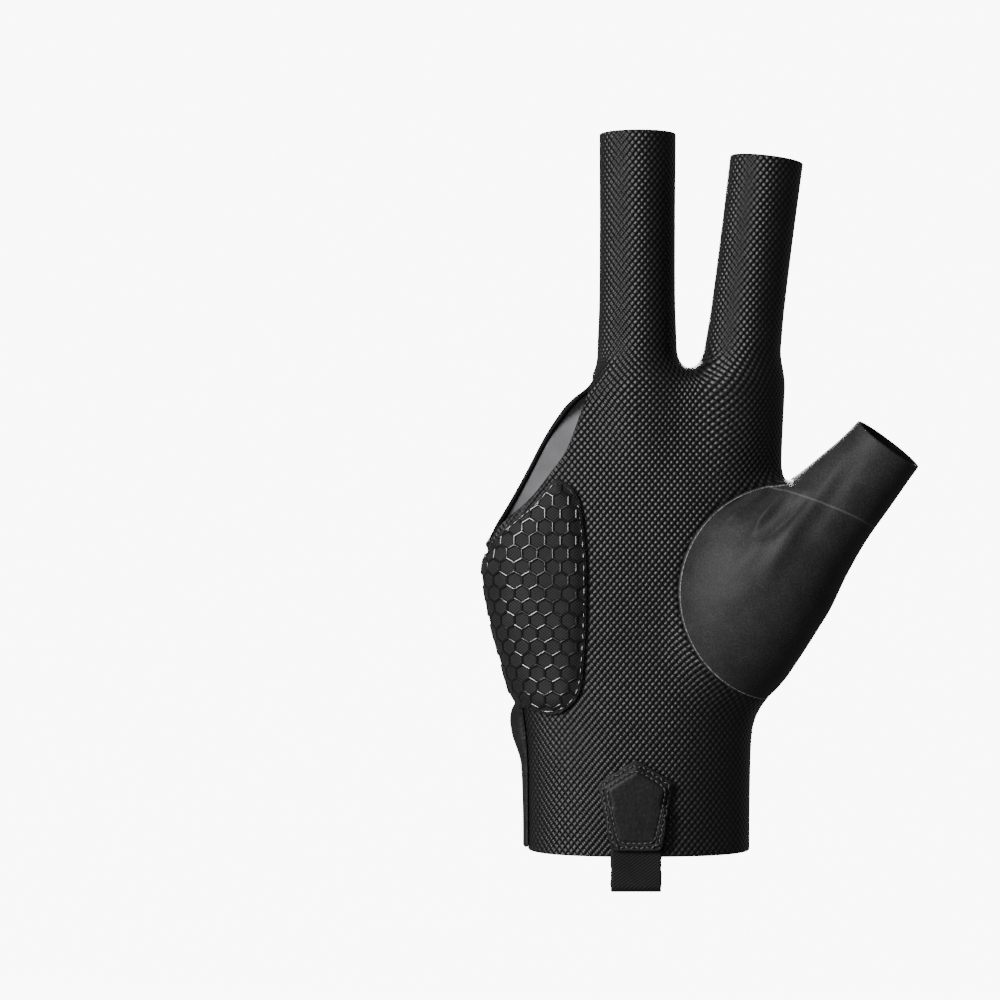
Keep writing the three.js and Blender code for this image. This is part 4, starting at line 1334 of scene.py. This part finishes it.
PAD_OUTLINE = round_corners(
    [(-60, 50.5, 1), (-27, 40.4, 6), (-17.2, 39.8, 11), (-15.2, 62, 12), (-14.9, 88, 12),
     (-17.6, 106.5, 7), (-24, 108, 3), (-60, 108, 1)]
)
PAD_LIFT, PAD_RIM, PAD_FULL, PAD_ROUND = 0.15, 0.9, 2.0, 2.4
PAD_FROM_EDGE = 2.0  # how far the pad stays from the palm's free edge


def in_pad(p):
    return np.minimum(within(PAD_OUTLINE, p), beside(PALM_EDGE, p) - PAD_FROM_EDGE)


def pad_height(inside):
    return PAD_LIFT + mix(PAD_RIM, PAD_FULL, 1 - bell(inside / PAD_ROUND))


palm_side = cut_all(glove, lambda p: -behind_side_seam(p))
pad_sheet = refine(cut_all(palm_side, in_pad))
pad_in = np.maximum(in_pad(pad_sheet[0]), 0)
grip_pad, _ = make_shell("grip_pad_cloth", pad_sheet, PAD_LIFT, pad_height(pad_in), "grip_pad",
                         PAD_CLOTH, 0.6, uv=weave_uv)

# %% The honeycomb print
HEX_WIDTH, RIB_RADIUS, RIB_MARGIN, RIB_STEPS = 4.4, 0.46, 0.5, 8


def honeycomb(low, high, width):
    """Points and edges of a hexagon lattice, with upright sides."""
    radius = width / math.sqrt(3)
    corners, edges = {}, set()
    for row in range(int((high[1] - low[1]) / (radius * 1.5)) + 1):
        for column in range(int((high[0] - low[0]) / width) + 1):
            x = low[0] + width * (column + 0.5 * (row % 2))
            z = low[1] + radius * 1.5 * row
            ring = []
            for k in range(6):
                angle = k * math.pi / 3
                corner = (x + radius * math.sin(angle), z + radius * math.cos(angle))
                key = (round(corner[0], 3), round(corner[1], 3))
                ring.append(corners.setdefault(key, len(corners)))
            edges |= {tuple(sorted((ring[k], ring[(k + 1) % 6]))) for k in range(6)}
    return np.array(list(corners)), np.array(sorted(edges))


def on_print(p):
    """How far inside the pad, or in front of the side seam, a place lies."""
    return np.minimum(in_pad(p), -behind_side_seam(p))


# %% Lay the honeycomb on the pad: each edge bends with the hand and stops at the pad's rim
flat, edges = honeycomb((-64, 37), (-10, 112), HEX_WIDTH)
places = on_body(flat[:, 0], flat[:, 1])
inside = on_print(places)
wire_points, wire_edges = list(places), []
for a, b in edges:
    if max(inside[a], inside[b]) <= RIB_MARGIN:
        continue
    steps = on_body(*mix(flat[a], flat[b], np.linspace(0, 1, RIB_STEPS + 1)[:, None]).T)
    deep = on_print(steps) > RIB_MARGIN
    last = None
    for i in np.flatnonzero(deep):
        at_end = not deep[max(i - 1, 0)] or not deep[min(i + 1, RIB_STEPS)]
        if i % 3 != 1 and i not in (0, RIB_STEPS) and not at_end:
            continue
        if i in (0, RIB_STEPS):
            here = b if i else a
        else:
            wire_points.append(steps[i])
            here = len(wire_points) - 1
        if last is not None:
            wire_edges.append((last, here))
        last = here
used, index = np.unique(np.array(wire_edges), return_inverse=True)
places = np.array(wire_points)[used]
normals = hand_normals(places)
crest = pad_height(np.maximum(in_pad(places), 0)) - 0.1
run_tree(
    "grip_pad_honeycomb", RIB_TREE, places + normals * crest[:, None],
    index.reshape(-1, 2).tolist(), normals, "silicone", Radius=RIB_RADIUS * MM, Sides=10,
    Finish=SILICONE,
)


# %% The printed rim, whose height wanders a little, so that its shine breaks into flecks
def rim_height(p):
    return pad_height(0.5) - 0.2 + 0.14 * np.sin(1.9 * p[:, 2] + p[:, 0])


cord_edge("grip_pad_print_rim", level_line(palm_side, in_pad, 0.5), rim_height, 0.36, "silicone",
          SILICONE)

# %% [markdown]
# ## The wrist closure
#
# A strip of matte synthetic leather comes round the little finger's side of the wrist and ends in
# a D-shaped tab. Hook tape under the tab grips the jersey of the cuff. The strip is rolled along
# its edge and the tab is a flat lamination with a pale cut edge, so their heights differ across
# them.

# %% The strap at the side of the wrist
STRAP_EDGE, STRAP_HEIGHT, STRAP_SLANT, STRAP_FOOT = -31.3, 41.0, 0.6, 0.5
# heights, and how far the strap's edge on the palm's side lies from the middle of the wrist
STRAP_FRONT = np.array([[0, 22.7, 28, 32.5, 37, 42, 60], [31.3, 31.4, 31.6, 31.9, 32.4, 33, 33.3]])
PIECE_GAP, STRAP_RIM, STRAP_FULL, STRAP_LEAN = 0.3, 0.4, 1.1, 2.1
LEAN_LOW, LEAN_HIGH = 24, 35  # the heights between which the strap leans out


def strap_side(p):
    front = -np.interp(p[:, 2], *STRAP_FRONT)
    return np.where(p[:, 1] < 2, front, STRAP_EDGE) - p[:, 0]


def strap_top(p):
    return STRAP_HEIGHT - STRAP_SLANT * p[:, 1] - p[:, 2]


def in_strap(p):
    return np.minimum(strap_side(p), np.minimum(strap_top(p), p[:, 2] - STRAP_FOOT))


def round_rise(inside, width, full):
    """Rises like a quarter circle from an edge to the full height."""
    t = np.clip(inside / width, 0, 1)
    return full * np.sqrt(1 - (1 - t) ** 2)


def strap_lean(p):
    """The upper end leans away from the hand, most of all on its side."""
    up = np.clip((p[:, 2] - LEAN_LOW) / (LEAN_HIGH - LEAN_LOW), 0, 1)
    return smooth_step(up) * bell((p[:, 1] + 1) / 5)


strap_sheet = refine(cut_all(glove, in_strap), 2)
strap_p = strap_sheet[0]
strap_full = round_rise(strap_top(strap_p), 5, STRAP_FULL + STRAP_LEAN * strap_lean(strap_p))
strap_outer = PIECE_GAP + STRAP_RIM + round_rise(np.maximum(in_strap(strap_p), 0), 1.5, strap_full)
make_shell("strap_base_leatherette", strap_sheet, PIECE_GAP, strap_outer, "strap_base",
           LEATHERETTE)
# A near-black cord round the strap's edge: painted shade for the dark gap between the strap and the
# cloth beside it.
wrist_side = cut_all(glove, lambda p: -p[:, 0] - 20, lambda p: 60 - p[:, 2])
cord_edge("strap_edge_painted_shade", level_line(wrist_side, in_strap, 0.3), 0.75, 0.32, "leatherette",
          BLACK_TAPE_AND_SHADE)

# %% The outline of the closing tab
TAB_TIP, TAB_BOTTOM, TAB_HEIGHT, TAB_ROUND = -4.4, 1.2, 31.3, 13.0


def tab_outline(steps=48):
    """A straight left side and a bow on the right."""
    middle = TAB_BOTTOM + TAB_HEIGHT / 2
    angle = np.linspace(-math.pi / 2, math.pi / 2, steps)
    across = TAB_TIP - TAB_ROUND + TAB_ROUND * np.cos(angle)
    bow = np.stack([across, middle + TAB_HEIGHT / 2 * np.sin(angle)], 1)
    left = STRAP_EDGE + 0.8 + PIECE_GAP
    return np.vstack([[(left, TAB_BOTTOM)], bow, [(left, TAB_BOTTOM + TAB_HEIGHT)]])


TAB_OUTLINE = tab_outline()


def in_tab(p):
    return within(TAB_OUTLINE, p)


print("tab:", round(float(np.ptp(TAB_OUTLINE[:, 0])), 1), "mm wide and", TAB_HEIGHT, "mm high")

# %% The closing tab
TAB_GROOVE, HOOK_MARGIN, TAB_THICKNESS = -27.2, 4.0, 1.6
HOOK_RISE, GROOVE_DEPTH, STITCH_SINK, TAB_STITCHES = 1.3, 0.85, 0.14, 2.1


def tab_under(p):
    """The tab's lower face climbs from the cuff on to the hook tape."""
    return PIECE_GAP + HOOK_RISE * np.clip(in_tab(p) / (HOOK_MARGIN - 1), 0, 1)


def tab_over(p):
    """The upper face has a pressed groove at the strap and a slight dip under its stitches."""
    beyond_groove = 1 / (1 + np.exp(-(p[:, 0] - TAB_GROOVE) / 0.12))
    dips = STITCH_SINK * bell((np.maximum(in_tab(p), 0) - TAB_STITCHES) / 0.5) * beyond_groove
    return tab_under(p) + TAB_THICKNESS - GROOVE_DEPTH * (1 - beyond_groove) - dips


cuff_back = cut_all(glove, behind_side_seam, lambda p: CUFF_HEIGHT + 2 - p[:, 2])
tab_sheet = refine(cut_all(cuff_back, in_tab), 2)
closure_tab, _ = make_shell(
    "closure_tab_leatherette", tab_sheet, tab_under(tab_sheet[0]), tab_over(tab_sheet[0]),
    "closure_tab", LEATHERETTE, 0.3,
)
# The faces in the groove take the near-black finish: painted shade in the groove where the tab
# meets the strap.
in_groove = np.array([f.center.x < (TAB_GROOVE - 0.05) * MM for f in closure_tab.data.polygons])
closure_tab.data.materials.append(BLACK_TAPE_AND_SHADE)
closure_tab.data.polygons.foreach_set("material_index", in_groove.astype(int))
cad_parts["hook_patch"].material_slots[0].material = HOOK

# %% [markdown]
# The tab's edge was cut through dark skin and pale core, so it shows a thin pale line all round.
# A row of stitches runs beside it. Both stop at the groove, where the tab goes over into the
# strap.

# %% The tab's cut edge and its stitches
tab_side = cut_all(cuff_back, lambda p: p[:, 0] - TAB_GROOVE - 1.2)
stitch("closure_tab_stitches", level_line(tab_side, in_tab, TAB_STITCHES),
       lambda p: tab_under(p) + TAB_THICKNESS - 0.1, "leatherette", 1.9, 1.4)
tab_rim = cut_all(cuff_back, lambda p: p[:, 0] - TAB_GROOVE)
cord_edge("closure_tab_cut_edge", level_line(tab_rim, in_tab, 0.12),
          lambda p: tab_under(p) + TAB_THICKNESS - 0.22, 0.2, "leatherette", PALE_EDGE)

# %% [markdown]
# ## The pull loop
#
# The loop at the hem helps to pull the glove on. It is one length of flat webbing, folded over
# the hem, and a five-sided patch covers its sewn end. The webbing is swept along its fold as a
# ribbon with rounded selvedges.

# %% A ribbon along a path
PATCH_CENTRE, WEBBING_WIDTH, WEBBING_THICKNESS = -0.9, 14.5, 0.9
WEBBING_DROP, OUTER_LEG, INNER_LEG = 10.3, 13.0, 10.0


def ribbon(path, width, thickness, centre, bow=0.12, steps=26):
    """A band with rounded edges along a path of y and z, as wide as it is along x."""
    path = np.array(path)
    tangent = np.gradient(path, axis=0)
    tangent /= np.linalg.norm(tangent, axis=1)[:, None]
    out = np.stack([-tangent[:, 1], tangent[:, 0]], 1)
    half = thickness / 2
    round_end = np.linspace(math.pi / 2, -math.pi / 2, 7)
    across = np.linspace(-width / 2 + half, width / 2 - half, steps)
    profile = [(x, half) for x in across]
    profile += [(width / 2 - half + half * math.cos(a), half * math.sin(a)) for a in round_end[1:]]
    profile += [(x, -half) for x in across[::-1][1:]]
    profile += [(-width / 2 + half - half * math.cos(a), -half * math.sin(a))
                for a in round_end[1:-1]]
    profile = np.array(profile)
    length = run_length(path)
    verts, uv = [], []
    for n, (at, normal) in enumerate(zip(path, out)):
        waist = 1 - 0.012 * math.sin(length[n] * 0.9) - 0.01 * math.sin(length[n] * 2.3 + 1)
        lift = profile[:, 1] + bow * (1 - (2 * profile[:, 0] / width) ** 2) * math.sin(n * 0.35)
        yz = at + normal * lift[:, None]
        verts.append(np.column_stack([centre + profile[:, 0] * waist, yz]))
        uv.append(np.column_stack([profile[:, 0], np.full(len(profile), length[n])]))
    count = len(profile)
    faces = []
    for n in range(len(path) - 1):
        for k in range(count):
            a, b = n * count + k, n * count + (k + 1) % count
            faces.append((a, b, b + count, a + count))
    faces.append(tuple(range(count))[::-1])
    faces.append(tuple((len(path) - 1) * count + k for k in range(count)))
    return np.vstack(verts), faces, np.vstack(uv)


# %% The webbing, down outside the hem, round its foot and up inside
half_thick = WEBBING_THICKNESS / 2
outside = -WRIST_DEPTH / 2 - PIECE_GAP - half_thick
inside_leg = -WRIST_DEPTH / 2 + CLOTH_WALL + PIECE_GAP * 1.5 + half_thick
bend = (inside_leg - outside) / 2
turn = np.linspace(math.pi, 2 * math.pi, 17)
foot = -WEBBING_DROP + bend + half_thick
loop_path = [(outside, z) for z in np.linspace(OUTER_LEG, foot, 30)[:-1]]
loop_path += [(outside + bend + bend * math.cos(a), foot + bend * math.sin(a)) for a in turn]
loop_path += [(inside_leg, z) for z in np.linspace(foot, INNER_LEG, 26)[1:]]
verts, faces, uv = ribbon(loop_path, WEBBING_WIDTH, WEBBING_THICKNESS, PATCH_CENTRE)
pull_loop = make_piece("pull_loop_webbing", verts, faces, "pull_loop", WEBBING)
give_uv(pull_loop, uv)

# %% [markdown]
# The five-sided patch is thick synthetic leather that lies over the flat webbing, so it bulges
# where the webbing runs under it. Two rows of heavy thread hold it, and each row presses a
# groove.

# %% The patch over its end
PATCH_FOOT, PATCH_SHOULDER, PATCH_BOTTOM = 13.6, 21.6, 2.0
SHOULDER_HEIGHT, PATCH_HEIGHT, PATCH_THICKNESS = 18.8, 25.6, 1.2
OUTER_ROW, INNER_ROW, ROW_WIDTH, ROW_DEPTH = 0.85, 2.1, 0.3, 0.35
PATCH_OUTLINE = round_corners(
    [
        (PATCH_CENTRE - PATCH_FOOT / 2, PATCH_BOTTOM, 1.0),
        (PATCH_CENTRE + PATCH_FOOT / 2, PATCH_BOTTOM, 1.0),
        (PATCH_CENTRE + PATCH_SHOULDER / 2, PATCH_BOTTOM + SHOULDER_HEIGHT, 1.6),
        (PATCH_CENTRE, PATCH_BOTTOM + PATCH_HEIGHT, 1.6),
        (PATCH_CENTRE - PATCH_SHOULDER / 2, PATCH_BOTTOM + SHOULDER_HEIGHT, 1.6),
    ]
)


def in_patch(p):
    return within(PATCH_OUTLINE, p)


def patch_under(p):
    """The lower face lies on the cloth at the rim and climbs over the webbing in the middle."""
    over_loop = np.minimum(
        WEBBING_WIDTH / 2 + 2 * PIECE_GAP - np.abs(p[:, 0] - PATCH_CENTRE),
        OUTER_LEG + 2 * PIECE_GAP - p[:, 2],
    )
    off_loop = 1 - smooth_step(np.clip(1 + over_loop / 1.5, 0, 1))
    off_middle = 1 - smooth_step(np.clip(in_patch(p) / 3.6, 0, 1))
    return PIECE_GAP + (WEBBING_THICKNESS + 3 * PIECE_GAP) * (1 - off_loop * off_middle)


def patch_over(p):
    inside = np.maximum(in_patch(p), 0)
    rows = bell((inside - OUTER_ROW) / ROW_WIDTH) + bell((inside - INNER_ROW) / ROW_WIDTH)
    rim = 0.3 * (1 - np.exp(-inside / 1.5))
    return patch_under(p) + PATCH_THICKNESS - 0.3 + rim - ROW_DEPTH * rows


patch_sheet = refine(cut_all(palm_side, in_patch), 2)
make_shell(
    "loop_patch_leatherette", patch_sheet, patch_under(patch_sheet[0]), patch_over(patch_sheet[0]),
    "loop_patch", LEATHERETTE,
)
stitch("loop_patch_outer_stitches", level_line(palm_side, in_patch, OUTER_ROW),
       lambda p: patch_over(p) + 0.25, "leatherette", 1.45, 1.25, thread=0.55, slant=30)
stitch("loop_patch_inner_stitches", level_line(palm_side, in_patch, INNER_ROW),
       lambda p: patch_over(p) + 0.22, "leatherette", 1.6, 1.15, thread=0.5)

# %% [markdown]
# ## Seam stitches
#
# The cuff is joined to the back with a covered seam: one row on each side. The back is joined to
# the knit and to the thumb with small flat stitches that cross the seam. A row of stitches could
# be a texture, but real threads catch the light one by one.

# %% Stitch the seams
FREE_EDGE = 1.5  # where a finger meets the opening, its stitches end this far from the edge
back_half = cut_all(glove, lambda p: on_back(p) - 0.6, lambda p: -on_thumb(p) - 0.6)
cuff_rows = level_line(back_half, above_cuff, 0.9) + level_line(back_half, above_cuff, -2.3)
stitch("cuff_seam_stitches", cuff_rows, 0.08, "lycra", 1.5, 1.15, thread=0.5, arch=0.5)
sewn = cut_all(
    glove,
    lambda p: beside(PALM_EDGE, p) - FREE_EDGE,
    lambda p: beside(BACK_EDGE, p) - FREE_EDGE,
)
side_seam = level_line(cut_all(sewn, lambda p: -on_thumb(p) - 0.4), on_back, shortest=20)
thumb_seam = level_line(cut_all(glove, lambda p: p[:, 1] - 1.5), on_thumb, shortest=12)
for name, paths, lift, slot in (
    ("side_seam_stitches", side_seam, -0.32, "lycra"),
    ("thumb_seam_stitches", thumb_seam, -0.2, "microfibre"),
):
    stitch(name, paths, lift, slot, 1.7, 1.5, thread=0.36, slant=42)

# %% [markdown]
# ## Floor, light and camera
#
# The glove stands in a pale studio: a flat floor that turns up into a wall all round, so that no
# horizon shows. The paint glows by itself, and its light is kept off the glove: a backdrop as
# bright as the photograph's would wash out the dark cloth and give it pale edges. A large soft
# light from the left models the palm, a weak one fills its front, and one behind draws the rims.
# So the right side falls into shade.


# %% The studio
BACKDROP_GLOW, AIR_GLOW, WHITE = 9.0, 0.2, (1, 1, 1, 1)


def studio_floor(depth=0.32, flat=1.1, radius=1.5, height=2.4, steps=96):
    arc = [(flat + radius * math.sin(a), radius - radius * math.cos(a))
           for a in np.linspace(0, math.pi / 2, 20)]
    profile = np.array([(0.35, 0), (0.75, 0)] + arc + [(flat + radius, height)])
    angle = np.arange(steps) * 2 * math.pi / steps
    verts = np.vstack(
        [[(0, 0, -depth)]]
        + [np.column_stack([r * np.cos(angle), r * np.sin(angle), np.full(steps, z - depth)])
           for r, z in profile]
    )
    faces = [(0, 1 + i, 1 + (i + 1) % steps) for i in range(steps)]
    for ring in range(len(profile) - 1):
        a = 1 + ring * steps
        faces += [(a + i, a + i + steps, a + (i + 1) % steps + steps, a + (i + 1) % steps)
                  for i in range(steps)]
    mesh = bpy.data.meshes.new("studio_floor")
    mesh.from_pydata(verts, [], faces)
    mesh.polygons.foreach_set("use_smooth", [True] * len(faces))
    floor = place_object("studio_floor", mesh)
    paint, _, shader = new_material("matt_white_studio_paint", 0.9, 0.1)
    shader.inputs["Base Color"].default_value = linear("#d8d8d8")
    shader.inputs["Emission Color"].default_value = WHITE
    shader.inputs["Emission Strength"].default_value = BACKDROP_GLOW
    mesh.materials.append(paint)
    floor.visible_diffuse = floor.visible_glossy = False  # its glow lights and mirrors in nothing


studio_floor()
world = bpy.data.worlds.new("studio_air")
bpy.context.scene.world = world
world.use_nodes = True
world.node_tree.nodes["Background"].inputs[0].default_value = WHITE
world.node_tree.nodes["Background"].inputs[1].default_value = AIR_GLOW

# %% Three soft lights that the camera doesn't see: name, place, width and height, power
CENTRE = Vector((0.01, 0, 0.09))
for name, place, size, power in (
    ("key_softbox", (-0.9, -0.78, 0.42), (0.3, 0.5), 31),
    ("front_softbox", (-0.35, -1.3, 0.75), (0.35, 0.35), 4),
    ("back_softbox", (0.05, 1.25, 0.3), (0.4, 0.6), 27),
):
    data = bpy.data.lights.new(name, "AREA")
    data.shape = "RECTANGLE"
    data.size, data.size_y = size
    data.energy = power
    lamp = place_object(name, data)
    lamp.location = place
    lamp.visible_camera = False
    lamp.rotation_euler = (CENTRE - Vector(place)).to_track_quat("-Z", "Y").to_euler()
    print(f"{name}: {power} W")

# %% The camera stands where the photographer stood, level with the middle of the hand
PHOTO_WIDTH_MM, CAMERA_DISTANCE_MM, SENSOR_MM = 294, 765, 36
camera_data = bpy.data.cameras.new("photo_camera")
camera_data.sensor_width = SENSOR_MM
camera_data.lens = SENSOR_MM * CAMERA_DISTANCE_MM / PHOTO_WIDTH_MM
camera_data.clip_end = 20
camera = place_object("photo_camera", camera_data)
camera.location = (-0.0399, -CAMERA_DISTANCE_MM * MM, 0.1021)
camera.rotation_euler = (math.pi / 2, 0, 0)
bpy.context.scene.camera = camera
print("lens:", round(camera_data.lens, 1), "mm")
